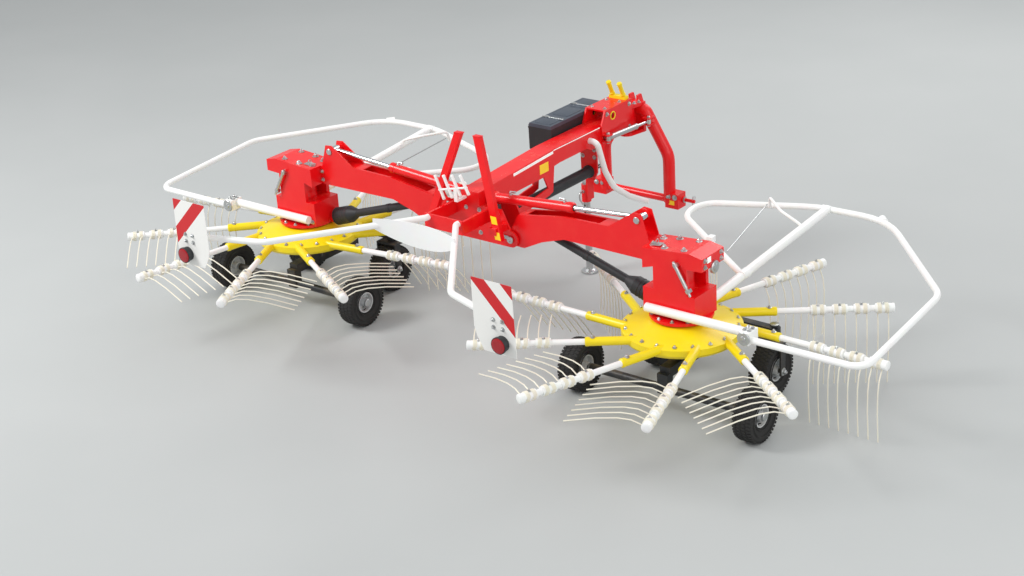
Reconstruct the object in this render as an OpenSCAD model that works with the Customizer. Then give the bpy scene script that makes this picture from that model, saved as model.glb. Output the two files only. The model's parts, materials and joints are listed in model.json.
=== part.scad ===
// Twin rotor hay rake, carried on a three-point hitch, standing parked on its wheels and leg.
// +X is the machine's right, +Y its travel direction, +Z up, with the floor at Z 0.
// Heights and lengths are in millimetres. Places along Y are told from the rotors' axle line.

/* [Layout] */
// Distance between the two rotor axes
rotor_spacing = 3426; // [3300:2:3600]
// How far the lower hitch reaches ahead of the rotor axes
hitch_y = 2010; // [1980:5:2100]
// How far the warning boards stand behind the rotor axes
board_y = 1463; // [1450:1:1560]
// Distance of each folding hinge from the middle of the machine
hinge_x = 330; // [320:1:345]
// Height of the folding hinges
hinge_z = 900; // [890:1:910]

/* [Rotors] */
// Arms on each rotor
arm_count = 10; // [8:1:11]
// Radius of the circle that the arm ends run on
rotor_r = 1420; // [1380:5:1460]
// How far each arm's line passes beside the rotor axis
arm_offset = 190; // [170:5:210]
// Height of the arm tubes
arm_z = 550; // [545:1:556]
// Diameter of an arm tube
arm_d = 42; // [36:1:46]
// Diameter of a hub socket
socket_d = 60; // [54:1:66]
// Radius at which the sockets end
socket_r = 650; // [600:10:700]
// Radius of the dished hub
hub_r = 405; // [380:5:430]
// Height of the dished hub
hub_h = 130; // [120:2:140]

/* [Tines] */
// Double tines on each arm
tine_pairs = 4; // [3:1:5]
// Distance of the first double tine along its arm
tine_first = 910; // [900:5:960]
// Pitch of the double tines along the arm
tine_pitch = 142; // [125:1:150]
// Spread of the two wires of a double tine
tine_spread = 70; // [50:1:80]
// Wire diameter of a tine
tine_d = 9.5; // [8:0.5:11]
// Gap between the hanging tines and the floor
tine_gap = 15; // [10:1:40]
// Angle by which the cam lifts the tines at the back
tine_lift = 82; // [70:1:88]

/* [Wheels] */
// Tyre diameter
tyre_d = 370; // [360:2:380]
// Tyre width
tyre_w = 150; // [130:2:160]
// Rim diameter at the beads
rim_d = 156; // [150:1:170]
// Half track of the fixed rear wheels of a rotor
rear_x = 690; // [670:5:710]
// Distance of the rear wheels behind the rotor axis
rear_y = 215; // [200:5:230]
// Half track of the caster pivots
caster_x = 440; // [425:5:445]
// Distance of the caster pivots ahead of the rotor axis
caster_y = 445; // [435:5:455]
// Trail of the caster wheels
trail = 50; // [40:1:55]
// Wheel axle diameter
axle_d = 30; // [25:1:32]

/* [Frame] */
// Width of the main beam
beam_w = 160; // [140:2:180]
// Height of the main beam
beam_h = 150; // [130:2:170]
// Height of the top of the main beam
beam_top = 1255; // [1245:1:1262]
// Thickness of the frame plates
plate_t = 15; // [12:1:18]
// Width of a folding boom
boom_w = 130; // [124:1:136]
// Wall of a folding boom
boom_wall = 8; // [6:1:10]
// Diameter of the folding hinge pins
hinge_d = 40; // [36:1:45]
// Diameter of the hoop tube
hoop_d = 46; // [40:1:48]
// Diameter of the lamp tubes
lamp_tube_d = 45; // [40:1:50]
// Diameter of the lift cylinder barrels
barrel_d = 70; // [64:1:76]
// Diameter of the lift cylinder rods
rod_d = 35; // [30:1:40]

/* [Hitch] */
// Distance between the shoulders of the lower hitch pins
hitch_spread = 825; // [800:5:840]
// Diameter of the lower hitch pins
hitch_pin_d = 28; // [22:0.1:36.6]
// Height of the lower hitch pins
hitch_z = 520; // [500:5:540]
// Height of the top link holes above the lower pins
mast_h = 610; // [560:5:640]
// Diameter of the top link holes
top_hole_d = 25.7; // [19.7:0.1:32.7]
// Shaft diameter of the splined input stub
pto_d = 34.9; // [34.9:0.1:44.5]

/* [Fits] */
// Gap between pieces that sit on each other
seat = 0.3; // [0.2:0.05:0.5]
// Radial clearance of a running pin or shaft
run = 0.06; // [0.02:0.01:0.1]
// Gap beside a moving piece
side_gap = 6; // [5:0.5:8]

/* [Hidden] */
$fn = 48;
rotor_x = rotor_spacing / 2;
wheel_r = tyre_d / 2;
rim_r = rim_d / 2;
beam_low = beam_top - beam_h;
lamp_depth = 54;
board_t = 4;
rear_end = -(board_y + board_t + seat + lamp_depth);
top_hole_y = hitch_y + 40;
lug_tip = 30;
front_end = top_hole_y + lug_tip;
axis_y = -(front_end + rear_end) / 2;
hub_low = arm_z - 50;
hub_top = hub_low + hub_h;
column_r = 50;
gear_z = 900;
head_low = hub_top + 14;
swivel_y = hitch_y - 160;
swivel_d = 50;
boom_y = 45;
boom_back = boom_y - boom_w / 2;
boom_front = boom_y + boom_w / 2;
plate_back = boom_back - side_gap - plate_t;
plate_front = boom_front + side_gap;
boom_end = rotor_x - 213;
lift_base = [130, 1150];
lift_eye = [boom_end - 110, 1245];
side_names = ["left", "right"];

// Places a child of the machine, whose Y is told from the rotor axes
module machine() translate([0, axis_y, 0]) children();

// Draws the right-hand piece, or its mirror image on the left
module on_side(side) machine() mirror([side == "left" ? 1 : 0, 0, 0]) children();

// Draws a piece of the right rotor in rotor coordinates, or its mirror image
module on_rotor(side) on_side(side) translate([rotor_x, 0, 0]) children();

// Straight round bar between two points
module rod(from, to, d) {
    run_v = to - from;
    len_v = norm(run_v);
    translate(from)
        rotate([0, acos(run_v[2] / len_v), atan2(run_v[1], run_v[0])])
            cylinder(h = len_v, d = d);
}

function unit(v) = v / norm(v);

// Points of a path whose corners are rounded, in chords of about 9 degrees
function corner(p, r, i) = let (u = unit(p[i] - p[i - 1]), v = unit(p[i + 1] - p[i]), turn = acos(u * v),
    axis = unit(cross(u, v)), out = cross(u, axis), start = p[i] - u * r[i] * tan(turn / 2),
    n = max(2, round(turn / 9)))
    [for (k = [0 : n]) start + r[i] * (out * (cos(turn * k / n) - 1) + u * sin(turn * k / n))];
function rounded(p, r) = concat([p[0]], [for (i = [1 : len(p) - 2]) each corner(p, r, i)], [p[len(p) - 1]]);

// Round tube swept along a path; up is any direction that the path never takes
module swept(path, d, up, sides = 14) {
    n = len(path);
    rings = [for (i = [0 : n - 1]) let (t = unit(path[min(i + 1, n - 1)] - path[max(i - 1, 0)]),
        u = unit(cross(up, t)), w = cross(t, u))
        for (j = [0 : sides - 1]) path[i] + d / 2 * (u * cos(360 / sides * j) + w * sin(360 / sides * j))];
    skin = [for (i = [0 : n - 2]) for (j = [0 : sides - 1])
        [i * sides + j, (i + 1) * sides + j, (i + 1) * sides + (j + 1) % sides, i * sides + (j + 1) % sides]];
    polyhedron(rings, concat([[for (j = [0 : sides - 1]) j]], skin,
        [[for (j = [sides - 1 : -1 : 0]) (n - 1) * sides + j]]));
}

// Plate in the XZ plane from an outline, its back at y0
module xz_plate(y0, thick) translate([0, y0 + thick, 0]) rotate([90, 0, 0])
    linear_extrude(thick) children();

// Plate in the YZ plane from an outline, its left face at x0
module yz_plate(x0, thick) translate([x0, 0, 0]) rotate([90, 0, 90])
    linear_extrude(thick) children();

// Bar along X or Y centred on a height
module bar_x(x0, x1, y, z, d) translate([x0, y, z]) rotate([0, 90, 0]) cylinder(h = x1 - x0, d = d);
module bar_y(x, y0, y1, z, d) translate([x, y0, z]) rotate([-90, 0, 0]) cylinder(h = y1 - y0, d = d);

// Deep box beam from the centre frame to the swivel, with its covered nose, bearing hanger and leg sleeve
leg_x = -120;
leg_y = 1450;
leg_d = 55;
leg_top = 760;
sleeve_d = 75;
sleeve_low = 600;
hanger_y = 1340;
stub_end = hanger_y + 130;
stub_len = 90;
shaft_guard_d = 86;
nose_y = 1400;
nose_end = swivel_y - 50;
nose_top = beam_top + 107;
nose_t = 12;
damper_z = beam_low + 57;
damper_a = [128, nose_y + 25, damper_z];
damper_b = [175, swivel_y + 45, damper_z];
damper_pin_d = 20;
damper_eye = 20;
lug_t = 8;
box_x1 = -beam_w / 2 - nose_t - side_gap;
module damper_lugs(x, y, w, l) for (z = [-damper_eye - seat - lug_t, damper_eye + seat])
    translate([x, y, damper_z + z]) cube([w, l, lug_t]);
module nose_plate() difference() {
    polygon([[nose_y, beam_low + 10], [nose_end, beam_low + 10], [nose_end, nose_top], [nose_y + 50, nose_top],
        [nose_y, beam_top]]);
    translate([nose_y + 145, beam_top + 45]) circle(d = 50);
}
module main_beam() color("#E01B22") machine() difference() {
    union() {
        yz_plate(-beam_w / 2, beam_w) polygon([[plate_back - 20, beam_low], [620, beam_low], [880, beam_low + 27],
            [1220, beam_low + 27], [1270, beam_low], [nose_end, beam_low], [nose_end, beam_top], [800, beam_top],
            [plate_back - 20, beam_top - 50]]);
        translate([0, swivel_y, beam_low - 30]) cylinder(h = beam_h + 30, d = 130);
        translate([-45, swivel_y - 80, beam_low - 30]) cube([90, 80, beam_h + 30]);
        for (s = [-1, 1]) yz_plate(s > 0 ? beam_w / 2 - 1 : -beam_w / 2 - nose_t, nose_t + 1) nose_plate();
        translate([1 - beam_w / 2 - nose_t, nose_y + 50, nose_top - 12]) cube([beam_w + 2 * nose_t - 2, nose_end - nose_y - 50, 12]);
        damper_lugs(beam_w / 2, damper_a[1] - 28, damper_a[0] + 27 - beam_w / 2, 56);
        translate([damper_a[0], damper_a[1], damper_z - damper_eye - lug_t]) cylinder(h = 2 * damper_eye + 2 * lug_t, d = damper_pin_d);
        for (y = [1060, 1300]) translate([box_x1 + seat, y, beam_low + 45]) cube([1 - beam_w / 2 - box_x1 - seat, 80, 50]);
        xz_plate(hanger_y, 15) polygon([[-75, beam_low + 1], [75, beam_low + 1], [75, gear_z], [45, gear_z - 65],
            [-45, gear_z - 65], [-75, gear_z]]);
        translate([leg_x, leg_y, sleeve_low]) cylinder(h = leg_top - 20 - sleeve_low, d = sleeve_d);
        translate([-90, leg_y - 40, sleeve_low + 20]) cube([14, 80, beam_low + 1 - sleeve_low - 20]);
    }
    translate([0, swivel_y, beam_low - 31]) cylinder(h = beam_h + 32, d = swivel_d + 2 * run);
    translate([leg_x, leg_y, sleeve_low - 1]) cylinder(h = leg_top - sleeve_low, d = leg_d + 2 * seat);
    bar_y(0, hanger_y - 1, hanger_y + 16, gear_z, shaft_guard_d + 2 * seat);
}

// Welded cross frame: two plates with the hinge lugs, gussets under the beam, cylinder lugs and rear bracket
lug_r = 60;
frame_low = 840;
front_low = 800;
tie_t = 14;
tie_x = 130;
bracket_back = -362;
bracket_x = 170;
bracket_top = beam_low + 8;
lift_pin_d = 30;
lift_lug_r = 32;
cheek_t = 12;
cheek_in = 28;
module frame_outline() {
    polygon([[-110, frame_low], [110, frame_low], [hinge_x, hinge_z - lug_r], [hinge_x, hinge_z + lug_r],
        [260, beam_low - seat], [-260, beam_low - seat], [-hinge_x, hinge_z + lug_r], [-hinge_x, hinge_z - lug_r]]);
    for (s = [-1, 1]) translate([s * hinge_x, hinge_z]) circle(r = lug_r);
}
module lift_cheek(s) {
    polygon([[s * (lift_base[0] - 35), beam_low - tie_t], [s * (lift_base[0] + 25), beam_low - tie_t],
        [s * (lift_base[0] + lift_lug_r), lift_base[1]], [s * (lift_base[0] - lift_lug_r), lift_base[1]]]);
    translate([s * lift_base[0], lift_base[1]]) circle(r = lift_lug_r);
}
module gusset_outline() difference() {
    polygon([[plate_front + plate_t - 1, beam_low - seat], [620, beam_low - seat], [820, beam_low + 20],
        [790, 930], [740, 915], [plate_front + plate_t - 1, frame_low + 5]]);
    polygon([[200, beam_low - 35], [690, beam_low - 30], [735, 975], [200, 905]]);
}
module centre_frame() color("#E01B22") machine() difference() {
    union() {
        xz_plate(plate_back, plate_t) frame_outline();
        xz_plate(plate_front, plate_t) union() {
            frame_outline();
            polygon([[-110, front_low], [110, front_low], [150, frame_low + 5], [-150, frame_low + 5]]);
        }
        translate([-tie_x, plate_back + 1, frame_low]) cube([2 * tie_x, plate_front - plate_back, tie_t]);
        translate([-bracket_x, bracket_back, 1010]) cube([2 * bracket_x, 12, bracket_top - 1010]);
        for (s = [-1, 1]) {
            translate([s > 0 ? beam_w / 2 : -tie_x, plate_back + 1, beam_low - tie_t - seat])
                cube([tie_x - beam_w / 2, plate_front - plate_back, tie_t]);
            bar_y(s * hinge_x, plate_back - 8, plate_front + plate_t + 8, hinge_z, hinge_d);
            for (y = [-cheek_in - cheek_t, cheek_in]) xz_plate(boom_y + y, cheek_t) lift_cheek(s);
            bar_y(s * lift_base[0], boom_y - cheek_in - cheek_t, boom_y + cheek_in + cheek_t, lift_base[1], lift_pin_d);
            yz_plate(s * 68 - 6, 12) gusset_outline();
            translate([s > 0 ? bracket_x - 20 : -bracket_x, bracket_back, 1010])
                cube([20, plate_back + 1 - bracket_back, beam_low - seat - 1010]);
        }
    }
    bar_y(0, plate_front - 1, plate_front + plate_t + 1, gear_z, 110);
}

// Pair of square posts behind the centre frame, leaning inward and forward
post_w = 60;
post_depth = 36;
post_foot = [322, -150, 930];
post_head = [84, -30, 1615];
module mast_posts() color("#E01B22") machine() for (s = [-1, 1]) {
    hull() {
        translate([s * post_foot[0] - post_w / 2, post_foot[1] - post_depth / 2, post_foot[2]]) cube([post_w, post_depth, 1]);
        translate([s * post_head[0] - post_w / 2, post_head[1] - post_depth / 2, post_head[2]]) cube([post_w, post_depth, 1]);
    }
    translate([s * (hinge_x - 55) - 30, post_foot[1] - post_depth / 2, 965])
        cube([60, plate_back - seat - post_foot[1] + post_depth / 2, 50]);
}

// Bracket behind the beam with four short slanted white bars
comb_y = plate_back - 114;
comb_lean = 65;
module hose_comb() color("#F2F2EE") machine() {
    for (i = [0 : 3]) let (x = -160 + 77 * i, z = 1150 + 25 * i)
        rod([x, comb_y, z], [x - comb_lean, comb_y, 1310 + 14 * i], 22);
    rod([-200, comb_y, 1210], [60, comb_y, 1272], 16);
    translate([-60, comb_y - 8, 1150]) cube([30, plate_back - 20 - seat - comb_y + 8, 15]);
    translate([-60, comb_y - 8, 1150]) cube([30, 16, 100]);
}

// Holder for the hose couplings on the beam's nose
module hose_holder() color("#F4D82E") machine() {
    translate([-75, nose_end - 65, nose_top + seat]) cube([150, 45, 25]);
    for (s = [-1, 1]) rod([s * 50, nose_end - 43, nose_top + 15], [s * 50, nose_end - 100, nose_top + 143], 34);
}

// Moulded tool box on the left of the beam, with its hinged lid
box_x0 = -310;
box_y0 = 1020;
box_y1 = 1700;
box_z0 = beam_low + 25;
box_h = 180;
box_wall = 5;
lid_t = 26;
knuckle_d = 16;
lid_x = box_x0 + knuckle_d / 2;
module toolbox() color("#22252B") machine() translate([box_x0, box_y0, box_z0]) difference() {
    cube([box_x1 - box_x0, box_y1 - box_y0, box_h]);
    translate([box_wall, box_wall, box_wall])
        cube([box_x1 - box_x0 - 2 * box_wall, box_y1 - box_y0 - 2 * box_wall, box_h]);
}
module toolbox_lid() color("#4A525C") machine() {
    translate([lid_x, box_y0, box_z0 + box_h + seat]) cube([box_x1 - lid_x, box_y1 - box_y0, lid_t]);
    bar_y(lid_x, box_y0, box_y1, box_z0 + box_h + seat + knuckle_d / 2, knuckle_d);
}

// Bent white guard tube from the beam's right side down beside the input shaft
guard_x = 150;
module guard_tubes() color("#F2F2EE") machine()
    swept(rounded([[beam_w / 2 + seat, 1252, beam_low + 80], [guard_x, 1252, beam_low + 80], [guard_x, 1340, 925],
        [guard_x, 1442, 767], [guard_x, 1637, 628], [guard_x, 1870, 505]], [0, 45, 200, 200, 200, 0]), 46, [0, 0.5, 0.87]);

// Two bent tubes that carry the warning boards, with the bare curved plate between them
board_z = 1070;
tube_root = [135, bracket_back - seat, 1090];
tube_knee = [830, 193 - board_y, 1080];
tube_end = rotor_x - 313;
panel_r = 900;
panel_front = -600;
panel_y = panel_front - panel_r;
panel_half_w = 366.063;
panel_half_turn = asin(panel_half_w / panel_r);
panel_low = 960;
panel_top = 1140;
panel_arc = 677;
module light_frame() color("#F2F2EE") machine() {
    for (s = [-1, 1]) {
        swept(rounded([[s * tube_root[0], tube_root[1], tube_root[2]], [s * tube_root[0], tube_root[1] - 23, tube_root[2]],
            [s * tube_knee[0], tube_knee[1], tube_knee[2]],
            [s * tube_end, lamp_tube_d / 2 + seat - board_y, board_z]], [0, 40, 160, 0]), lamp_tube_d, [0, 0, 1]);
        translate([s * (tube_end - 30) - 55, seat - board_y, board_z - 45]) cube([110, 8, 90]);
    }
    intersection() {
        translate([0, panel_y, panel_low]) rotate_extrude(start = 90 - panel_half_turn, angle = 2 * panel_half_turn, $fn = 120)
            translate([panel_r, 0]) square([5, panel_top - panel_low]);
        bar_y(0, panel_y, 0, panel_low + panel_arc, 2 * panel_arc, $fn = 96);
    }
}

// Warning boards with a bevelled lower corner
board_x = rotor_x - 533;
module warning_boards() color("#F2F2EE") machine() for (s = [-1, 1])
    xz_plate(-board_y - board_t, board_t) polygon([[s * board_x, 1345], [s * (board_x + 310), 1345],
        [s * (board_x + 320), 870], [s * (board_x + 70), 870], [s * (board_x + 20), 950], [s * board_x, 1020]]);

// Round red lamp on each board
module rear_lamps() color("#6B0F14") machine() for (s = [-1, 1])
    bar_y(s * (board_x + 219), -board_y - board_t - seat - lamp_depth, -board_y - board_t - seat, 952, 112);

// Central gearbox between the plates of the cross frame
gearbox_x = 130;
module centre_gearbox() color("#8B8F94") machine() {
    translate([-gearbox_x, plate_back + plate_t + seat, frame_low + tie_t + seat])
        cube([2 * gearbox_x, plate_front - plate_back - plate_t - 2 * seat, 225]);
    bar_y(0, plate_front - 10, plate_front + plate_t, gear_z, 90);
}

// Guarded input shaft under the beam, ending in the splined stub ahead of its bearing
module input_shaft() color("#22252B") machine() {
    bar_y(0, plate_front + plate_t + seat, stub_end - stub_len, gear_z, shaft_guard_d);
    bar_y(0, stub_end - stub_len - 1, stub_end, gear_z, pto_d);
}

// Parking leg with its foot, in the sleeve on the beam
module parking_leg() color("#C9CCCE") machine() {
    translate([leg_x, leg_y, 10]) cylinder(h = leg_top - 10, d = leg_d);
    translate([leg_x, leg_y, 0]) cylinder(h = 11, d = 130);
}

// Swivelling headstock: arch, lower crossbar with its pins, top link lugs, damper lugs and pivot
arch_d = 95;
arch_y = hitch_y - 40;
arch_x = 304;
arch_top = 1225;
top_hole_z = hitch_z + mast_h;
foot_x = 345;
fork_t = 26;
fork_z0 = beam_low - 30 - side_gap - fork_t;
fork_z1 = beam_top + side_gap;
module top_lug() difference() {
    union() {
        polygon([[arch_y - 20, top_hole_z - 60], [top_hole_y, top_hole_z - lug_tip], [top_hole_y + lug_tip, top_hole_z],
            [arch_y + 30, 1335], [arch_y - 20, 1335]]);
        translate([top_hole_y, top_hole_z]) circle(r = lug_tip);
    }
    translate([top_hole_y, top_hole_z]) circle(d = top_hole_d);
}
module headstock() color("#E01B22") machine() {
    swept(rounded([[arch_x, arch_y, hitch_z - 20], [arch_x, arch_y, 880], [95, arch_y, arch_top], [-95, arch_y, arch_top],
        [-arch_x, arch_y, 880], [-arch_x, arch_y, hitch_z - 20]], [0, 170, 50, 50, 170, 0]), arch_d, [0, 1, 0], 18);
    for (s = [-1, 1]) {
        translate([s * foot_x - 60, hitch_y - 80, hitch_z - 60]) cube([120, 110, 120]);
        bar_x(s > 0 ? 400 : -hitch_spread / 2, s > 0 ? hitch_spread / 2 : -400, hitch_y, hitch_z, 50);
        bar_x(s > 0 ? hitch_spread / 2 - 1 : -hitch_spread / 2 - 95, s > 0 ? hitch_spread / 2 + 95 : 1 - hitch_spread / 2, hitch_y, hitch_z, hitch_pin_d);
        yz_plate(s * 36 - 8, 16) top_lug();
    }
    damper_lugs(damper_b[0] - 45, damper_b[1] - 23, 70, arch_y - damper_b[1] + 13);
    bar_x(-400, 400, arch_y, hitch_z, 60);
    for (z = [fork_z0, fork_z1]) translate([0, 0, z]) linear_extrude(fork_t) union() {
        translate([0, swivel_y]) circle(d = 130);
        polygon([[-65, swivel_y], [65, swivel_y], [90, arch_y], [-90, arch_y]]);
    }
    translate([-90, arch_y - 16, fork_z0]) cube([180, 32, fork_z1 + fork_t - fork_z0]);
    translate([0, swivel_y, fork_z0]) cylinder(h = fork_z1 + fork_t - fork_z0, d = swivel_d);
}

// Damper strut between the beam's right side and the headstock
damper_dir = unit(damper_b - damper_a);
damper_rod_d = 22;
module damper_barrel() color("#B9BDBF") machine() difference() {
    union() {
        rod(damper_a, damper_a + damper_dir * 330, 40);
        translate(damper_a - [0, 0, damper_eye]) cylinder(h = 2 * damper_eye, d = 46);
    }
    translate(damper_a - [0, 0, 30]) cylinder(h = 60, d = damper_pin_d + 2 * run);
    rod(damper_a + damper_dir * 150, damper_a + damper_dir * 332, damper_rod_d + 2 * run);
}
module damper_rod() color("#C9CCCE") machine() {
    rod(damper_a + damper_dir * 240, damper_b, damper_rod_d);
    translate(damper_b - [0, 0, damper_eye]) cylinder(h = 2 * damper_eye, d = 38);
}

// Folding boom: a bent plate channel, open below, from the hinge to the rotor head
shaft_y = boom_y + 20;
input_face = rotor_x - 262;
shaft_a = [hinge_x + 100, shaft_y, 1012];
shaft_b = [input_face, shaft_y, 690];
shaft_dir = unit(shaft_b - shaft_a);
slot_x = [125, 745];
slot_w = 94;
function reach(f) = hinge_x + f * (boom_end - hinge_x);
function boom_bottom() = [[hinge_x - 20, hinge_z - 50], [hinge_x + 100, 848], [reach(0.22), 924], [reach(0.385), 983], [boom_end, 976]];
function boom_top(t = 0) = [[boom_end, 1118 - t], [reach(0.878), 1135 - t], [reach(0.698), 1158 - t], [reach(0.39), 1150 - t],
    [hinge_x + 70, 1091 - t]];
module boom_outline() {
    polygon(concat(boom_bottom(), boom_top(), [[hinge_x + 62, 1090], [hinge_x - 20, hinge_z + 50]]));
    translate([hinge_x, hinge_z]) circle(r = lug_r - 4);
}
module boom_hollow() difference() {
    polygon(concat([[hinge_x + 70, hinge_z - 80], [boom_end + 1, hinge_z - 80]], boom_top(boom_wall)));
    translate([boom_end - 12, hinge_z - 90]) square([20, 400]);
}
module ear_outline() polygon([[lift_eye[0] - 240, 1080], [lift_eye[0] - 240, 1152], [lift_eye[0] - 25, lift_eye[1] + 50],
    [lift_eye[0] + 35, lift_eye[1] + 45], [lift_eye[0] + 90, 1115], [lift_eye[0] + 90, 1080]]);
module boom(side) color("#E01B22") on_side(side) difference() {
    union() {
        difference() {
            xz_plate(boom_back, boom_w) boom_outline();
            xz_plate(boom_back + boom_wall, boom_w - 2 * boom_wall) boom_hollow();
            translate([hinge_x + slot_x[0], boom_y - slot_w / 2, 1050]) cube([slot_x[1] - slot_x[0], slot_w, 200]);
        }
        for (y = [boom_back, boom_front - boom_wall]) xz_plate(y, boom_wall) ear_outline();
        for (y = [boom_back + 1, boom_y + cheek_in])
            bar_y(lift_eye[0], y, y + boom_w / 2 - cheek_in - 1, lift_eye[1], 50);
        rod(shaft_a - 60 * shaft_dir, shaft_a, 60);
    }
    bar_y(hinge_x, -boom_w, 2 * boom_w, hinge_z, hinge_d + 2 * run);
}

// Lift cylinder: barrel on the centre frame and rod to the boom
lift_len = norm(lift_eye - lift_base);
lift_dir = (lift_eye - lift_base) / lift_len;
barrel_start = 40;
barrel_end = 700;
module along_lift() translate([lift_base[0], boom_y, lift_base[1]])
    rotate([0, -atan2(lift_dir[1], lift_dir[0]), 0]) children();
module lift_barrel(side) color("#E01B22") on_side(side) along_lift() difference() {
    union() {
        bar_x(barrel_start, barrel_end, 0, 0, barrel_d);
        bar_x(10, barrel_start + 1, 0, 0, 44);
        bar_y(0, -23, 23, 0, 62);
    }
    bar_y(0, -60, 60, 0, lift_pin_d + 2 * run);
    bar_x(barrel_start + 12, barrel_end + 1, 0, 0, rod_d + 2 * run);
}
module lift_rod(side) color("#C9CCCE") on_side(side) along_lift() {
    bar_x(620, lift_len - 20, 0, 0, rod_d);
    bar_y(lift_len, -cheek_in + seat, cheek_in - seat, 0, 56);
}

// Rotor head: hooded casting over the rotor gearbox, with a round-topped tunnel through its column
head_y = 130;
head_in = boom_end - rotor_x + seat;
column_x = 130;
tunnel_y = 100;
module rotor_head(side) color("#E01B22") on_rotor(side) {
    difference() {
        xz_plate(-head_y, 2 * head_y) polygon([[head_in, 976], [-column_x, 1000], [-column_x, 828], [column_x, 828],
            [column_x, 1030], [250, 1036], [250, 1125], [150, 1145], [head_in, 1118]]);
        bar_x(-column_x - 1, column_x + 1, 0, 925, 2 * tunnel_y);
        translate([-column_x - 1, -tunnel_y, 842]) cube([2 * column_x + 2, 2 * tunnel_y, 83]);
    }
    translate([0, 0, 828]) cylinder(h = 207, r = 90);
    translate([head_in, -head_y, head_low + 18]) cube([190 - head_in, 2 * head_y, 842 - head_low - 18]);
    translate([-rotor_x, 0, 0]) rod(shaft_b, shaft_b + 65 * shaft_dir, 80);
    translate([0, 0, head_low]) cylinder(h = 20, r = 215);
}

// Guard of white tube round the outer front of the rotor, on its thick carrying tubes
arm_tube_d = 62;
arm_tube_z = 715;
hoop_z = 705;
hoop_tilt = 4.4;
hoop_back = -head_y - seat - arm_tube_d / 2;
hoop_line = hoop_back - arm_tube_d / 2 - hoop_d / 2 - 1;
hoop_end = rotor_r + 30;
hoop_front = rotor_r + 240;
hoop_node = [148, 517, 0];
diag_start = hoop_back + (head_y + seat + arm_tube_d / 2 * sin(hoop_tilt) - hoop_back) / cos(hoop_tilt);
module hoop_plane() translate([0, hoop_back, hoop_z]) rotate([hoop_tilt, 0, 0]) translate([0, -hoop_back, 0]) children();
module guard_hoop(side) color("#F2F2EE") on_rotor(side) {
    bar_x(-170, 650, hoop_back, arm_tube_z, arm_tube_d);
    translate([590, hoop_line - hoop_d / 2 - 6, hoop_z - 36]) cube([70, hoop_back - hoop_line + 60, 84]);
    hoop_plane() {
        swept(rounded([[600, hoop_line, 0], [hoop_end, hoop_line, 0], [hoop_end - 20, 830, 0], [640, hoop_front + 5, 0],
            [80, hoop_front, 0], [-939, hoop_front - 362, 0], hoop_node], [0, 110, 200, 500, 600, 190, 0]), hoop_d, [0, 0, 1]);
        rod([hoop_node[0], diag_start, 0], [hoop_node[0] + 10, hoop_front, 0], arm_tube_d);
    }
}

// Guarded drive shaft from its bearing in the boom to the rotor gearbox, with its bell at the outer end
shaft_len = norm(shaft_b - shaft_a);
bell_d = 130;
bell_len = 150;
bell_cone = 80;
module drive_shaft(side) color("#22252B") on_side(side) {
    rod(shaft_a + seat * shaft_dir, shaft_b - seat * shaft_dir, 60);
    rod(shaft_b - bell_len * shaft_dir, shaft_b - seat * shaft_dir, bell_d);
    translate(shaft_b - (bell_len + bell_cone - 1) * shaft_dir) rotate([0, acos(shaft_dir[2]), 0])
        cylinder(h = bell_cone, d1 = 58, d2 = bell_d - 2);
}

// Wheel carrier under the rotor: the fixed column, the rear axle beam and the caster beam
carrier_z = 330;
module chassis(side) color("#3A3D42") on_rotor(side) difference() {
    union() {
        translate([0, 0, carrier_z - 20]) cylinder(h = head_low - seat - carrier_z + 20, r = column_r);
        translate([0, 0, carrier_z]) cylinder(h = hub_low - seat - carrier_z, r = 80);
        translate([-40, -rear_y, carrier_z - 60]) cube([80, rear_y + caster_y, 70]);
        translate([-40, -rear_y - 35, wheel_r - 30]) cube([80, 70, carrier_z - wheel_r]);
        bar_x(-rear_x + tyre_w / 2 + 12, rear_x - tyre_w / 2 - 12, -rear_y, wheel_r, 56);
        bar_x(-rear_x - 66, rear_x + 66, -rear_y, wheel_r, axle_d);
        translate([-caster_x, caster_y - 30, carrier_z + 80]) cube([2 * caster_x, 60, 60]);
        translate([-40, caster_y - 40, carrier_z - 60]) cube([80, 70, 200]);
        for (s = [-1, 1]) translate([s * caster_x, caster_y, carrier_z + 80]) cylinder(h = 60, d = 80);
    }
    for (s = [-1, 1]) translate([s * caster_x, caster_y, carrier_z + 70]) cylinder(h = 80, d = 40 + 2 * run);
}

// Dished rotor hub with its ring of arm sockets
phase = [7.6, -0.9];
function arm_turn(side, k) = (side == "left" ? 180 - phase[0] : phase[1]) + 360 / arm_count * k;
function arm_at(r) = sqrt(r * r - arm_offset * arm_offset);
module hub(side) color("#F4D82E") on_rotor(side) difference() {
    union() {
        rotate_extrude($fn = 96) polygon([[column_r + seat, hub_low], [hub_r - 15, hub_low], [hub_r, hub_low + 20],
            [hub_r, hub_low + 62], [hub_r - 60, hub_low + 84], [200, hub_top], [column_r + seat, hub_top]]);
        for (k = [0 : arm_count - 1]) rotate(arm_turn(side, k)) bar_x(200, arm_at(socket_r), arm_offset, arm_z, socket_d);
    }
    for (k = [0 : arm_count - 1]) rotate(arm_turn(side, k)) bar_x(arm_at(hub_r) + 30, arm_at(socket_r) + 1, arm_offset, arm_z, arm_d + 2 * seat);
}

// Arm tubes with the coil sleeves of the tines and their end caps
coil_d = 64;
coil_len = tine_spread + 30;
module arms(side) color("#F2F2EE") on_rotor(side) for (k = [0 : arm_count - 1]) rotate(arm_turn(side, k)) {
    bar_x(arm_at(hub_r) + 31, arm_at(rotor_r) - 12, arm_offset, arm_z, arm_d);
    for (i = [0 : tine_pairs - 1]) bar_x(tine_first + tine_pitch * i - coil_len / 2, tine_first + tine_pitch * i + coil_len / 2, arm_offset, arm_z, coil_d);
    bar_x(arm_at(rotor_r) - 40, arm_at(rotor_r), arm_offset, arm_z, coil_d - 2);
}

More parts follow.
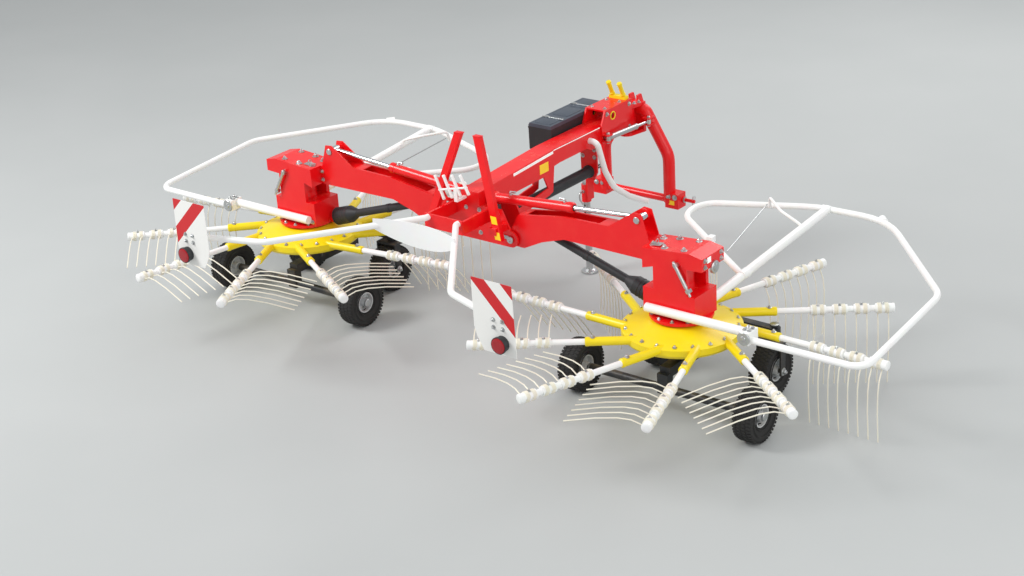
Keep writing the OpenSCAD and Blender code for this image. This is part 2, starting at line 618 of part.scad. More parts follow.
// How far the cam has lifted the tines of an arm that points this way
function wrap(a) = a - 360 * floor((a + 180) / 360);
function lift_of(a) = let (w = wrap(a)) (w < -18 && w > -150) ? tine_lift : (w <= -150 || w > 172) ? tine_lift / 2 : 0;

// Wire of a tine: raked back at the coil, then hanging nearly straight
tine_steps = [0, 0.15, 0.32, 0.6, 1];
tine_bend = 0.45;
function tine_dir(s) = s < tine_bend ? -40 * pow(1 - s / tine_bend, 2) : 8 * (s - tine_bend) / (1 - tine_bend);
function tine_at(i) = i == 0 ? [0, 0] : let (a = tine_dir((tine_steps[i] + tine_steps[i - 1]) / 2))
    tine_at(i - 1) + (tine_steps[i] - tine_steps[i - 1]) * [cos(a), sin(a)];
tine_path = [for (i = [0 : len(tine_steps) - 1]) tine_at(i)];
tine_len = (arm_z - tine_gap - coil_d / 2 - seat) / tine_path[len(tine_steps) - 1][0];
sides = 5;
module tine() {
    path = tine_len * tine_path;
    n = len(path);
    points = [for (i = [0 : n - 1]) for (j = [0 : sides - 1])
        [tine_d / 2 * cos(360 / sides * j), path[i][1] + tine_d / 2 * sin(360 / sides * j), -path[i][0]]];
    skin = [for (i = [0 : n - 2]) for (j = [0 : sides - 1])
        [i * sides + j, i * sides + (j + 1) % sides, (i + 1) * sides + (j + 1) % sides, (i + 1) * sides + j]];
    polyhedron(points, concat(skin, [[for (j = [sides - 1 : -1 : 0]) j], [for (j = [0 : sides - 1]) (n - 1) * sides + j]]));
}
module tines(side) color("#D9D4C4") on_rotor(side) for (k = [0 : arm_count - 1]) {
    turn = arm_turn(side, k);
    rotate(turn) for (i = [0 : tine_pairs - 1]) for (s = [-0.5, 0.5])
        translate([tine_first + tine_pitch * i + s * tine_spread, arm_offset, arm_z]) rotate([-lift_of(turn + 7.7), 0, 0])
            translate([0, 0, -coil_d / 2 - seat]) tine();
}

// Caster fork that turns in the carrier's socket
fork_in = tyre_w / 2 + 8;
module caster(side, place) color("#3A3D42") on_rotor(side) translate([(place == "outer" ? 1 : -1) * caster_x, caster_y, 0]) {
    translate([0, 0, carrier_z + 60]) cylinder(h = 100, d = 40);
    translate([0, 0, carrier_z + 152]) cylinder(h = 12, d = 60);
    translate([-fork_in - 12, -trail - 30, wheel_r + wheel_r + 12]) cube([2 * fork_in + 24, trail + 60, 12]);
    translate([0, 0, wheel_r * 2 + 12]) cylinder(h = carrier_z + 80 - side_gap - 2 * wheel_r - 12, d = 70);
    for (s = [-1, 1]) translate([s > 0 ? fork_in : -fork_in - 12, -trail - 30, wheel_r - 25]) cube([12, 60, wheel_r + 40]);
    bar_x(-fork_in - 2, fork_in + 2, -trail, wheel_r, axle_d);
}

// Places a wheel: fixed pair at the back, casters in front
module at_wheel(side, row, place) on_rotor(side)
    translate([(place == "outer" ? 1 : -1) * (row == "rear" ? rear_x : caster_x), row == "rear" ? -rear_y : caster_y - trail, wheel_r])
        rotate([0, 90, 0]) children();

// Tyre section turned round the axle
module tyre(side, row, place) color("#1C1A1A") at_wheel(side, row, place) rotate_extrude($fn = 96)
    polygon([[rim_r + seat, -50], [rim_r + 14, -58], [rim_r + 45, -tyre_w / 2], [wheel_r - 30, -tyre_w / 2], [wheel_r - 8, -tyre_w / 2 + 18],
        [wheel_r, -30], [wheel_r, 30], [wheel_r - 8, tyre_w / 2 - 18], [wheel_r - 30, tyre_w / 2], [rim_r + 45, tyre_w / 2], [rim_r + 14, 58], [rim_r + seat, 50]]);

// Pressed rim with its hub
module rim(side, row, place) color("#D8DADB") at_wheel(side, row, place) rotate_extrude($fn = 96)
    polygon([[axle_d / 2 + run, -62], [30, -62], [30, -8], [rim_r - 8, -8], [rim_r - 8, -50], [rim_r, -50], [rim_r, 50], [rim_r - 8, 50],
        [rim_r - 8, 8], [30, 8], [30, 62], [axle_d / 2 + run, 62]]);

main_beam();
centre_frame();
mast_posts();
hose_comb();
hose_holder();
toolbox();
toolbox_lid();
guard_tubes();
light_frame();
warning_boards();
rear_lamps();
centre_gearbox();
input_shaft();
parking_leg();
headstock();
damper_barrel();  // damper_barrel_right
damper_rod();  // damper_rod_right
for (side = side_names) {
    boom(side);
    rotor_head(side);
    guard_hoop(side);
    drive_shaft(side);
    chassis(side);
    lift_barrel(side);
    lift_rod(side);
    hub(side);
    arms(side);
    tines(side);
    for (place = ["inner", "outer"]) {
        caster(side, place);
        for (row = ["rear", "front"]) {
            tyre(side, row, place);
            rim(side, row, place);
        }
    }
}
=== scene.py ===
"""Looks of the twin rotor hay rake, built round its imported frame. Lengths are in metres."""

import json
from math import cos, pi, radians, sin, sqrt

import bpy
from mathutils import Matrix, Vector


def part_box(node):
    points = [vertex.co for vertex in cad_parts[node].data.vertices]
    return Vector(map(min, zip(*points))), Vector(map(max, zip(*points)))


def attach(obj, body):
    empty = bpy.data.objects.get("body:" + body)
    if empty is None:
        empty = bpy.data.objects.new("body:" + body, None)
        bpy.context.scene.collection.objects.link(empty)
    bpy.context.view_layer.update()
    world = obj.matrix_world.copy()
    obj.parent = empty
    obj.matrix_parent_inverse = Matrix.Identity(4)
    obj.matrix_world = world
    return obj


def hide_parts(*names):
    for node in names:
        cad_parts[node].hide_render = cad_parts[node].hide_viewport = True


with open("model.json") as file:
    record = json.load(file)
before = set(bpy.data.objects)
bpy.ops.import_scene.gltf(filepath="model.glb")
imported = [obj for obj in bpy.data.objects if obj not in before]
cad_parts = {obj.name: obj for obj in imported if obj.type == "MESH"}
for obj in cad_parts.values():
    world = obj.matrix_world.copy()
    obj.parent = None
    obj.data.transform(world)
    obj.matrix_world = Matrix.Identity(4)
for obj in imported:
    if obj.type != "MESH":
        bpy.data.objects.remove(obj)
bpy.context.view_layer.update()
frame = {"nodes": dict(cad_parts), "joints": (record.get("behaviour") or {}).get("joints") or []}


# Camera: stands behind, above and to the right of the parked rake, where the photograph was taken,
# and is aimed at the machine so that it fills the picture.
scene = bpy.context.scene
pivot = {joint["name"]: Vector(joint["pos_m"]) for joint in frame["joints"] if "pos_m" in joint}
axle_y = pivot["rotor_spin_right"].y
camera_place = Vector((7.718, axle_y - 8.931, 5.600))
camera_target = Vector((0.36, axle_y - 0.10, 0.56))
camera_roll = -0.066
camera_lens = 63
sight_limit = 200


def clear_selection():
    bpy.ops.object.select_all(action="DESELECT")


clear_selection()
bpy.ops.object.camera_add(location=camera_place)
camera = bpy.context.object
camera.name = "photo_camera"
sight = (camera_target - camera_place).to_track_quat("-Z", "Y").to_matrix()
camera.rotation_euler = (sight @ Matrix.Rotation(camera_roll, 3, "Z")).to_euler()
camera.data.lens = camera_lens
camera.data.clip_end = sight_limit
scene.camera = camera


# Floor and light: a pale matt floor that runs out of sight, one big soft lamp high on the left, weaker
# ones on the right and beyond the rake, and a pale sky all round.
floor_size = 120
floor_blotches_per_metre = 0.6
studio_lamps = (
    ("key", (-7.5, -7.0, 9.5), 4.5, 1150),
    ("fill", (9.0, -3.0, 5.5), 7.0, 330),
    ("back", (1.0, 9.0, 7.0), 6.0, 380))
lamp_target = Vector((0, 0, 0.6))
sky_strength = 0.66


def linear(code):
    """Linear colour of an sRGB hex code."""
    channels = [int(code[i:i + 2], 16) / 255 for i in (1, 3, 5)]
    return [c / 12.92 if c <= 0.04045 else ((c + 0.055) / 1.055) ** 2.4 for c in channels] + [1.0]


def fill(node, settings=(), links=()):
    """Gives a shader node its settings, by attribute or input, and its links (input, socket).

    A Mix node's sockets go by number: 0 is the share, 6 and 7 are its colours, and 2 comes out.
    """
    for name, value in dict(settings).items():
        if isinstance(name, str) and hasattr(node, name):
            setattr(node, name, value)
        else:
            node.inputs[name].default_value = value
    for name, socket in dict(links).items():
        node.id_data.links.new(socket, node.inputs[name])
    return node


def add_node(tree, kind, settings=(), links=()):
    """One new shader node with its settings and links."""
    return fill(tree.nodes.new("ShaderNode" + kind), settings, links)


def new_finish(name):
    """An empty material with its shader: (material, tree, Principled shader)."""
    made = bpy.data.materials.new(name)
    made.use_nodes = True
    return made, made.node_tree, made.node_tree.nodes["Principled BSDF"]


clear_selection()
bpy.ops.mesh.primitive_plane_add(size=floor_size, location=(0, 0, 0))
floor = bpy.context.object
floor.name = "studio_floor"
floor_paint, tree, shader = new_finish("matt_floor_paint")
blotch = add_node(tree, "TexNoise", {"Scale": floor_blotches_per_metre, "Detail": 3.0},
                  {"Vector": add_node(tree, "TexCoord").outputs["Object"]})
tone = add_node(tree, "ValToRGB", {}, {"Fac": blotch.outputs["Fac"]})
tone.color_ramp.elements[0].color = linear("#B2B5B4")
tone.color_ramp.elements[1].color = linear("#BBBDBC")
fill(shader, {"Roughness": 0.9}, {"Base Color": tone.outputs["Color"]})
floor.data.materials.append(floor_paint)
for name, place, size, power in studio_lamps:
    bpy.ops.object.light_add(type="AREA", location=place)
    lamp = bpy.context.object
    lamp.name = name + "_lamp"
    lamp.data.size = size
    lamp.data.energy = power
    lamp.rotation_euler = (lamp_target - Vector(place)).to_track_quat("-Z", "Y").to_euler()
world = bpy.data.worlds.new("pale_sky")
world.use_nodes = True
fill(world.node_tree.nodes["Background"], {"Color": linear("#F2F4F6"), "Strength": sky_strength})
scene.world = world
scene.view_settings.view_transform = "Standard"


# Powder coat: polyester powder baked on to welded steel. It gives a bright even colour and a soft gloss
# with an orange peel, drawn 5 mm coarse so that it shows, and a little field dust lies on level faces.
peel_size = 0.005
dust_patch = 0.12
SIDES = {"left": -1, "right": 1}


def wear(finish, *names):
    """Gives these CAD nodes this finish all over."""
    for name in names:
        piece = frame["nodes"][name]
        piece.data.materials.clear()
        piece.data.materials.append(finish)


def powder_coat(name, shade, dust_shade="#B7A27C", dust=0.22, gloss=0.32):
    finish, tree, shader = new_finish(name)
    place = add_node(tree, "TexCoord").outputs["Object"]
    cloud = add_node(tree, "TexNoise", {"Scale": 1 / dust_patch, "Detail": 6.0, "Roughness": 0.62},
                     {"Vector": place})
    fade = add_node(tree, "Mix", {"data_type": "RGBA", "blend_type": "MULTIPLY", 0: 0.10, 6: linear(shade)},
                    {7: cloud.outputs["Color"]})
    normal = add_node(tree, "NewGeometry").outputs["Normal"]
    facing = add_node(tree, "SeparateXYZ", {}, {"Vector": normal})
    level = add_node(tree, "MapRange", {"From Min": 0.2, "From Max": 1.0, "To Min": 0.25, "To Max": 1.0},
                     {"Value": facing.outputs["Z"]})
    patch = add_node(tree, "MapRange", {"From Min": 0.46, "From Max": 0.74}, {"Value": cloud.outputs["Fac"]})
    laid = add_node(tree, "Math", {"operation": "MULTIPLY"}, {0: level.outputs[0], 1: patch.outputs[0]})
    amount = add_node(tree, "Math", {"operation": "MULTIPLY", 1: dust}, {0: laid.outputs[0]})
    dusty = add_node(tree, "Mix", {"data_type": "RGBA", 7: linear(dust_shade)},
                     {0: amount.outputs[0], 6: fade.outputs[2]})
    rough = add_node(tree, "MapRange", {"To Min": gloss, "To Max": gloss + 0.3}, {"Value": amount.outputs[0]})
    peel = add_node(tree, "TexNoise", {"Scale": 1 / peel_size, "Detail": 1.0}, {"Vector": place})
    bump = add_node(tree, "Bump", {"Strength": 0.05, "Distance": 0.0006}, {"Height": peel.outputs["Fac"]})
    fill(shader, {"IOR": 1.5}, {"Base Color": dusty.outputs[2], "Roughness": rough.outputs[0],
                                "Normal": bump.outputs["Normal"]})
    return finish


red_coat = powder_coat("red_powder_coat", "#F30A14", dust=0.10, gloss=0.26)
white_coat = powder_coat("white_powder_coat", "#FBFBF9", dust=0.10)
yellow_coat = powder_coat("yellow_powder_coat", "#FCE212", dust=0.12)
black_coat = powder_coat("black_powder_coat", "#26282B", dust=0.45, gloss=0.42)
wear(red_coat, "main_beam", "centre_frame", "mast_posts", "headstock")
wear(white_coat, "hose_comb", "guard_tubes", "light_frame")
wear(yellow_coat, "hose_holder")
for side in SIDES:
    wear(red_coat, f"boom_{side}", f"rotor_head_{side}", f"lift_barrel_{side}")
    wear(white_coat, f"guard_hoop_{side}", f"arms_{side}")
    wear(yellow_coat, f"hub_{side}")
    wear(black_coat, f"chassis_{side}", f"caster_{side}_inner", f"caster_{side}_outer")


# Zinc and chrome: pins, bolts and the parking leg are steel with a bright zinc skin, grey with a crystal
# mottle that is drawn 4 mm coarse so that it shows; cylinder rods are ground and hard chromed, and the
# tines are spring steel wire under a cream lacquer.
def zinc_plate(name, shade, rough, crystal=0.004):
    finish, tree, shader = new_finish(name)
    place = add_node(tree, "TexCoord").outputs["Object"]
    grain = add_node(tree, "TexVoronoi", {"Scale": 1 / crystal}, {"Vector": place})
    tone = add_node(tree, "Mix", {"data_type": "RGBA", "blend_type": "MULTIPLY", 0: 0.12, 6: linear(shade)},
                    {7: grain.outputs["Color"]})
    fill(shader, {"Metallic": 1.0, "Roughness": rough}, {"Base Color": tone.outputs[2]})
    return finish


zinc = zinc_plate("zinc_plated_steel", "#C9CBCB", 0.36)
chrome = zinc_plate("hard_chromed_steel", "#DADCDD", 0.12, crystal=0.02)
spring_wire = powder_coat("cream_lacquered_spring_steel", "#F4EEDC", dust=0.15, gloss=0.38)
wear(zinc, "parking_leg", "damper_barrel_right")
wear(chrome, "damper_rod_right", "lift_rod_left", "lift_rod_right")
wear(spring_wire, "tines_left", "tines_right")


# Moulded plastic and rubber: polyethylene guards and the tool box, black or blue grey, matt with a spark
# eroded grain that is drawn 2 mm coarse so that it shows. Tyre rubber and the red acrylic of the lamps
# are moulded too; the gearbox and the rims are enamelled.
fades_per_metre = 9.0


def moulded(name, shade, rough=0.55, grain=0.002):
    finish, tree, shader = new_finish(name)
    place = add_node(tree, "TexCoord").outputs["Object"]
    cloud = add_node(tree, "TexNoise", {"Scale": fades_per_metre, "Detail": 5.0}, {"Vector": place})
    faded = [c * 1.5 + 0.01 for c in linear(shade)[:3]] + [1.0]
    tone = add_node(tree, "Mix", {"data_type": "RGBA", 6: linear(shade), 7: faded},
                    {0: cloud.outputs["Fac"]})
    spark = add_node(tree, "TexNoise", {"Scale": 1 / grain, "Detail": 2.0}, {"Vector": place})
    bump = add_node(tree, "Bump", {"Strength": 0.2, "Distance": 0.0003}, {"Height": spark.outputs["Fac"]})
    fill(shader, {"Roughness": rough}, {"Base Color": tone.outputs[2], "Normal": bump.outputs["Normal"]})
    return finish


# This black also paints the shade in the pin holes of the parking leg.
black_plastic_and_hole_shade = moulded("moulded_polyethylene_black_and_painted_hole_shade", "#1E2023")
lid_plastic = moulded("moulded_polyethylene_grey", "#39414C", 0.45)
tyre_rubber = moulded("vulcanised_tyre_rubber", "#1D1C1B", 0.72, 0.003)
lamp_red = moulded("red_acrylic_lens", "#930F19", 0.12)
gear_paint = powder_coat("grey_machine_enamel", "#6E7276", gloss=0.4)
rim_enamel = powder_coat("light_grey_rim_enamel", "#D3D5D6", dust=0.5, gloss=0.35)
wear(black_plastic_and_hole_shade, "toolbox", "input_shaft", "drive_shaft_left", "drive_shaft_right")
wear(lid_plastic, "toolbox_lid")
wear(lamp_red, "rear_lamps")
wear(gear_paint, "centre_gearbox")
for name in frame["nodes"]:
    if name.startswith("tyre_"):
        wear(tyre_rubber, name)
    if name.startswith("rim_"):
        wear(rim_enamel, name)


# Tyres: small flotation tyres with a round shoulder and four rows of low tread blocks, moulded in one
# piece. The carcass is a bevelled section spun round the axle, and the blocks stand on it.
tyre_radius = 0.185
tyre_width = 0.150
bead_radius = 0.0785
bead_width_share = 0.74
shoulder_bevel = 0.032
block_height = 0.0045
block_size = (0.030, 0.0165, 0.009)
block_rows = ((-0.053, -12), (-0.018, 0), (0.018, 0), (0.053, 12))
outer_row_drop = 0.0022
blocks_round = 44
sidewall_rings = ((0.136, 0.0028, tyre_width / 2 - 0.0030), (0.094, 0.0035, 0.062))


def edit_all():
    """Opens the active mesh in edit mode with everything selected."""
    bpy.ops.object.mode_set(mode="EDIT")
    bpy.ops.mesh.select_all(action="SELECT")


def outward(made):
    """Welds a mesh that operators have built and points its faces outwards."""
    clear_selection()
    made.select_set(True)
    bpy.context.view_layer.objects.active = made
    edit_all()
    bpy.ops.mesh.remove_doubles(threshold=0.00002)
    bpy.ops.mesh.normals_make_consistent(inside=False)
    bpy.ops.object.mode_set(mode="OBJECT")
    return made


def finish_modifier(made, kind, **settings):
    """Adds a modifier with its settings and applies it."""
    modifier = made.modifiers.new("shape", kind)
    for name, value in settings.items():
        setattr(modifier, name, value)
    bpy.context.view_layer.objects.active = made
    bpy.ops.object.modifier_apply(modifier="shape")
    return made


def repeated(model, places):
    """Copies of a model with a mesh of their own at each matrix; the model itself is taken away."""
    made = []
    for place in places:
        copy = model.copy()
        copy.data = model.data.copy()
        copy.data.transform(place)
        scene.collection.objects.link(copy)
        made.append(copy)
    bpy.data.objects.remove(model)
    return made


def one_piece(pieces):
    """Joins pieces to the first of them."""
    clear_selection()
    for piece in pieces:
        piece.select_set(True)
    bpy.context.view_layer.objects.active = pieces[0]
    if len(pieces) > 1:
        bpy.ops.object.join()
    return bpy.context.object


def joined(name, pieces, finish, body, sharp=35):
    """Joins pieces to one mesh with a name, a finish and the body that it rides on."""
    made = one_piece(pieces)
    made.name = made.data.name = name
    made.data.materials.clear()
    made.data.materials.append(finish)
    bpy.ops.object.shade_smooth_by_angle(angle=radians(sharp))
    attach(made, body)
    return made


def tyre_carcass():
    tread_radius = tyre_radius - block_height
    middle = (tread_radius + bead_radius) / 2
    clear_selection()
    bpy.ops.mesh.primitive_plane_add(size=1, location=(0, 0, middle), rotation=(pi / 2, 0, 0))
    made = bpy.context.object
    made.scale = (tyre_width - 0.004, tread_radius - bead_radius, 1)
    bpy.ops.object.transform_apply()
    for corner in made.data.vertices:
        if corner.co.z < middle:
            corner.co.x *= bead_width_share
    edit_all()
    bpy.ops.mesh.bevel(offset=shoulder_bevel, segments=5, affect="VERTICES")
    bpy.ops.mesh.delete(type="ONLY_FACE")
    bpy.ops.mesh.select_all(action="SELECT")
    bpy.ops.mesh.spin(steps=72, angle=2 * pi, center=(0, 0, 0), axis=(1, 0, 0))
    bpy.ops.object.mode_set(mode="OBJECT")
    return outward(made)


def edged_block(size, edge=0.003, segments=2):
    """A block with its edges taken off, round the origin."""
    clear_selection()
    bpy.ops.mesh.primitive_cube_add(size=1)
    made = bpy.context.object
    made.scale = size
    bpy.ops.object.transform_apply()
    return finish_modifier(made, "BEVEL", width=edge, segments=segments)


def ring(radius, wire, along_x=0, steps=72, sides=8):
    """A round ring about the X axis, at a place along it."""
    clear_selection()
    bpy.ops.mesh.primitive_torus_add(
        major_radius=radius, minor_radius=wire, major_segments=steps, minor_segments=sides,
        location=(along_x, 0, 0), rotation=(0, pi / 2, 0))
    bpy.ops.object.transform_apply()
    return bpy.context.object


def treaded_tyre():
    blocks = []
    for row, (across, lean) in enumerate(block_rows):
        drop = outer_row_drop if lean else 0.0
        stand = Matrix.Translation((across, 0, tyre_radius - block_height - drop))
        stand = stand @ Matrix.Rotation(radians(lean), 4, "Y")
        angles = [2 * pi * (step + 0.5 * (row % 2)) / blocks_round for step in range(blocks_round)]
        places = [Matrix.Rotation(angle, 4, "X") @ stand for angle in angles]
        blocks += repeated(edged_block(block_size, 0.0016, 1), places)
    trim = []
    for radius, wire, across in sidewall_rings:
        trim += [ring(radius, wire, sign * across) for sign in (-1, 1)]
    return [tyre_carcass()] + blocks + trim


pattern_tyre = joined("tyre_pattern", treaded_tyre(), tyre_rubber, "frame", 40)
pattern_mesh = pattern_tyre.data.copy()
bpy.data.objects.remove(pattern_tyre)
wheel_places = {}
for side in SIDES:
    for row in ("rear", "front"):
        for place in ("inner", "outer"):
            wheel = f"{side}_{row}_{place}"
            wheel_places[wheel] = pivot["wheel_spin_" + wheel]
            mesh = pattern_mesh.copy()
            mesh.transform(Matrix.Translation(wheel_places[wheel]))
            made = bpy.data.objects.new("tread_" + wheel, mesh)
            scene.collection.objects.link(made)
            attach(made, "wheel_" + wheel)
            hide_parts("tyre_" + wheel)
bpy.data.meshes.remove(pattern_mesh)


# Fasteners and wheel fittings: hexagon bolts and nuts on flat washers, cold headed from steel and zinc
# plated, m10 to m20 by their widths across flats; each body has one joined set. Five nuts hold each rim, a
# rubber valve stands out of it, and the wheels have a hub cap, or axle nuts on both sides of the fork.
m10, m12, m16, m18, m20 = 0.017, 0.019, 0.024, 0.027, 0.030
bolt_turn = 0.3
head_profile = ((0.10, 0.56), (0.60, 0.56), (0.70, 0.46))
stud_profile = ((0.68, 0.28), (0.92, 0.28), (0.97, 0.24))
washer_edge = ((0.10, 0.92), (0.12, 0.86))
rim_nut_count = 5
rim_nut_circle = 0.050
rim_nut_face = 0.008
valve_out, valve_down = 0.020, 0.068
hub_end = 0.062
fork_face = 0.095


def aimed(place, along=(0, 0, 1), twist=0.0):
    """Matrix that stands a piece made on the Z axis at a place, with its Z along a direction."""
    turn = Vector(along).to_track_quat("Z", "Y").to_matrix().to_4x4()
    return Matrix.Translation(place) @ turn @ Matrix.Rotation(twist, 4, "Z")


def stood(piece, place, along):
    """A piece made on the Z axis, stood at a place with its Z along a direction."""
    piece.data.transform(aimed(place, along))
    return piece


def turned(steps, sides=24):
    """A round solid on the Z axis, extruded from step to step of (height, radius)."""
    clear_selection()
    first_height, first_radius = steps[0]
    bpy.ops.mesh.primitive_circle_add(vertices=sides, radius=first_radius, fill_type="NGON",
                                      location=(0, 0, first_height))
    bpy.ops.object.transform_apply()
    edit_all()
    for (last_height, last_radius), (height, radius) in zip(steps, steps[1:]):
        bpy.ops.mesh.extrude_region_move(TRANSFORM_OT_translate={"value": (0, 0, height - last_height)})
        grow = radius / last_radius
        bpy.ops.transform.resize(value=(grow, grow, 1), center_override=(0, 0, height))
    bpy.ops.mesh.select_all(action="SELECT")
    bpy.ops.mesh.normals_make_consistent(inside=False)
    bpy.ops.object.mode_set(mode="OBJECT")
    return bpy.context.object


def scaled(profile, tall, wide):
    """Steps for turned() from shares of a height and of a radius."""
    return [(tall * height, wide * radius) for height, radius in profile]


def hexagon_bolt(across):
    """A bolt head on its washer, standing on the XY plane, by its width across flats."""
    washer = turned([(-0.001, across * 0.92)] + scaled(washer_edge, across, across), 20)
    head = turned(scaled(head_profile, across, across), 6)
    stud = turned(scaled(stud_profile, across, across), 12)
    return one_piece([washer, head, stud])


def bolts(name, body, rows):
    """One set of bolts on a body from rows of (place, direction, width across flats)."""
    made = []
    for across in sorted({row[2] for row in rows}):
        stands = [aimed(place, along, bolt_turn * number)
                  for number, (place, along, size) in enumerate(rows) if size == across]
        made += repeated(hexagon_bolt(across), stands)
    return joined(name, made, zinc, body)


for wheel, centre in wheel_places.items():
    side, row, place = wheel.split("_")
    body = "wheel_" + wheel
    out = SIDES[side] * (1 if place == "outer" else -1)
    nuts = []
    for number in range(rim_nut_count):
        angle = 2 * pi * number / rim_nut_count
        offset = Vector((out * rim_nut_face, rim_nut_circle * cos(angle), rim_nut_circle * sin(angle)))
        nuts.append((centre + offset, (out, 0, 0), m12))
    bolts(f"wheel_nuts_{wheel}", body, nuts)
    valve = turned([(0, 0.004), (0.018, 0.004), (0.026, 0.003)], 10)
    stood(valve, centre + Vector((out * valve_out, 0, -valve_down)), (out * 0.8, 0, 0.6))
    joined(f"tyre_valve_{wheel}", [valve], tyre_rubber, body)
    if row == "rear":
        cap = turned([(-0.002, 0.031), (0.009, 0.031), (0.013, 0.028), (0.015, 0.014)], 28)
        stood(cap, centre + Vector((out * hub_end, 0, 0)), (out, 0, 0))
        joined(f"hub_cap_{wheel}", [cap], zinc, body)
    else:
        nuts = [(centre + Vector((s * fork_face, 0, 0)), (s, 0, 0), m20) for s in (-1, 1)]
        bolts(f"axle_nuts_{side}_{place}", f"caster_{side}_{place}", nuts)


# Tined arms: sprung double tines of round wire are wound on each white arm tube, three coils a wire, and
# held by a bolt between the coils. A ring closes the yellow socket and a cap the arm's end.
rotor_x = pivot["rotor_spin_right"].x
arm_turns = {"left": 172.4, "right": -0.9}
arm_count = 10
arm_offset = 0.190
arm_height = 0.550
tine_places = [0.910 + 0.142 * number for number in range(4)]
tine_half = 0.035
sleeve_radius = 0.032
wire_radius = 0.0047
coil_pitch = 0.0092
socket_reach, arm_reach = 0.650, 1.420
socket_end = sqrt(socket_reach ** 2 - arm_offset ** 2)
arm_end = sqrt(arm_reach ** 2 - arm_offset ** 2)
tine_bolt_size = 0.015
socket_bolt = (socket_end - 0.035, 0.030)


def at(x, y, z):
    """A point told as the source tells it: x from the middle, y from the rotor axles, z from the floor."""
    return Vector((x, axle_y + y, z))


def coil():
    """Three turns of tine wire round the Z axis."""
    clear_selection()
    bpy.ops.mesh.primitive_circle_add(vertices=6, radius=wire_radius, rotation=(pi / 2, 0, 0),
                                      location=(sleeve_radius + 0.3 * wire_radius, 0, 0))
    bpy.ops.object.transform_apply()
    made = bpy.context.object
    finish_modifier(made, "SCREW", axis="Z", angle=2 * pi, screw_offset=coil_pitch, iterations=3,
                    steps=14, render_steps=14, use_merge_vertices=False)
    return outward(made)


def arm_point(side, turn, along, up=0.0):
    """A point on the line of an arm that is turned by so many degrees."""
    c, s = cos(radians(turn)), sin(radians(turn))
    across = rotor_x + along * c - arm_offset * s
    return at(SIDES[side] * across, along * s + arm_offset * c, arm_height + up)


for side, sign in SIDES.items():
    rotor = f"rotor_{side}"
    coils, holders, ring_places, cap_places = [], [], [], []
    for number in range(arm_count):
        turn = arm_turns[side] + 360 / arm_count * number
        way = Vector((sign * cos(radians(turn)), sin(radians(turn)), 0))
        for centre in tine_places:
            coils.append(aimed(arm_point(side, turn, centre - tine_half - 0.003), way))
            coils.append(aimed(arm_point(side, turn, centre + tine_half - 0.025), way))
            holders.append((arm_point(side, turn, centre, sleeve_radius), (0, 0, 1), tine_bolt_size))
        holders.append((arm_point(side, turn, *socket_bolt), (0, 0, 1), m12))
        ring_places.append(aimed(arm_point(side, turn, socket_end), way))
        cap_places.append(aimed(arm_point(side, turn, arm_end), way))
    joined(f"tine_coils_{side}", repeated(coil(), coils), spring_wire, rotor, 60)
    bolts(f"tine_bolts_{side}", rotor, holders)
    socket_ring = turned([(-0.010, 0.0315), (0.010, 0.0315), (0.016, 0.026), (0.016, 0.0215)], 24)
    joined(f"socket_rings_{side}", repeated(socket_ring, ring_places), yellow_coat, rotor)
    arm_cap = turned([(-0.012, 0.0325), (0.002, 0.0325), (0.006, 0.028), (0.008, 0.016)], 24)
    joined(f"arm_caps_{side}", repeated(arm_cap, cap_places), white_coat, rotor)


# Hubs: round steel housings that carry the arm sockets, welded and painted yellow, and closed with a
# flange that is held by two bolts to each arm.
hub_bolt_circle = 0.375
hub_flange_z = 0.5735
hub_bolt_step = 360 / (2 * arm_count)
for side, sign in SIDES.items():
    rows = []
    for number in range(2 * arm_count):
        angle = radians(arm_turns[side] + hub_bolt_step / 2 + hub_bolt_step * number)
        x, y = hub_bolt_circle * cos(angle), hub_bolt_circle * sin(angle)
        rows.append((at(sign * (rotor_x + x), y, hub_flange_z), (0, 0, 1), m10))
    bolts(f"hub_bolts_{side}", f"rotor_{side}", rows)


# Warning boards: white aluminium sheets with red stripes of film across the upper part, bolted to the
# ends of the lamp tubes, each with a round red lamp in a black housing. Nothing is written on them.
stripe_period = 0.240
first_stripe = 2.51
stripe_paint, tree, shader = new_finish("red_white_reflective_film")
spot = add_node(tree, "SeparateXYZ", {}, {"Vector": add_node(tree, "TexCoord").outputs["Object"]})
outward_x = add_node(tree, "Math", {"operation": "ABSOLUTE"}, {0: spot.outputs["X"]})
slant = add_node(tree, "Math", {"operation": "ADD"}, {0: outward_x.outputs[0], 1: spot.outputs["Z"]})
stripe_shift = 0.5 - first_stripe / stripe_period
phase = add_node(tree, "Math", {"operation": "MULTIPLY_ADD", 1: 1 / stripe_period, 2: stripe_shift},
                 {0: slant.outputs[0]})
part_of = add_node(tree, "Math", {"operation": "FRACT"}, {0: phase.outputs[0]})
striped = add_node(tree, "Math", {"operation": "GREATER_THAN", 1: 0.5}, {0: part_of.outputs[0]})
upper = add_node(tree, "Math", {"operation": "GREATER_THAN", 1: first_stripe - 0.01},
                 {0: slant.outputs[0]})
is_red = add_node(tree, "Math", {"operation": "MULTIPLY"}, {0: striped.outputs[0], 1: upper.outputs[0]})
film = add_node(tree, "Mix", {"data_type": "RGBA", 6: linear("#F3F2EE"), 7: linear("#D2141E")},
                {0: is_red.outputs[0]})
fill(shader, {"Roughness": 0.28}, {"Base Color": film.outputs[2]})
wear(stripe_paint, "warning_boards")
board_low, board_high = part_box("warning_boards")
lamp_low, lamp_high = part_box("rear_lamps")
lamp_radius = (lamp_high.z - lamp_low.z) / 2
lamp_depth = lamp_high.y - lamp_low.y
lamp_centre = Vector((lamp_high.x - lamp_radius, lamp_high.y, (lamp_low.z + lamp_high.z) / 2))
housing_profile = ((0, 0.90), (0.55, 0.94), (0.60, 1), (0.86, 1), (0.90, 0.97), (0.86, 0.92))
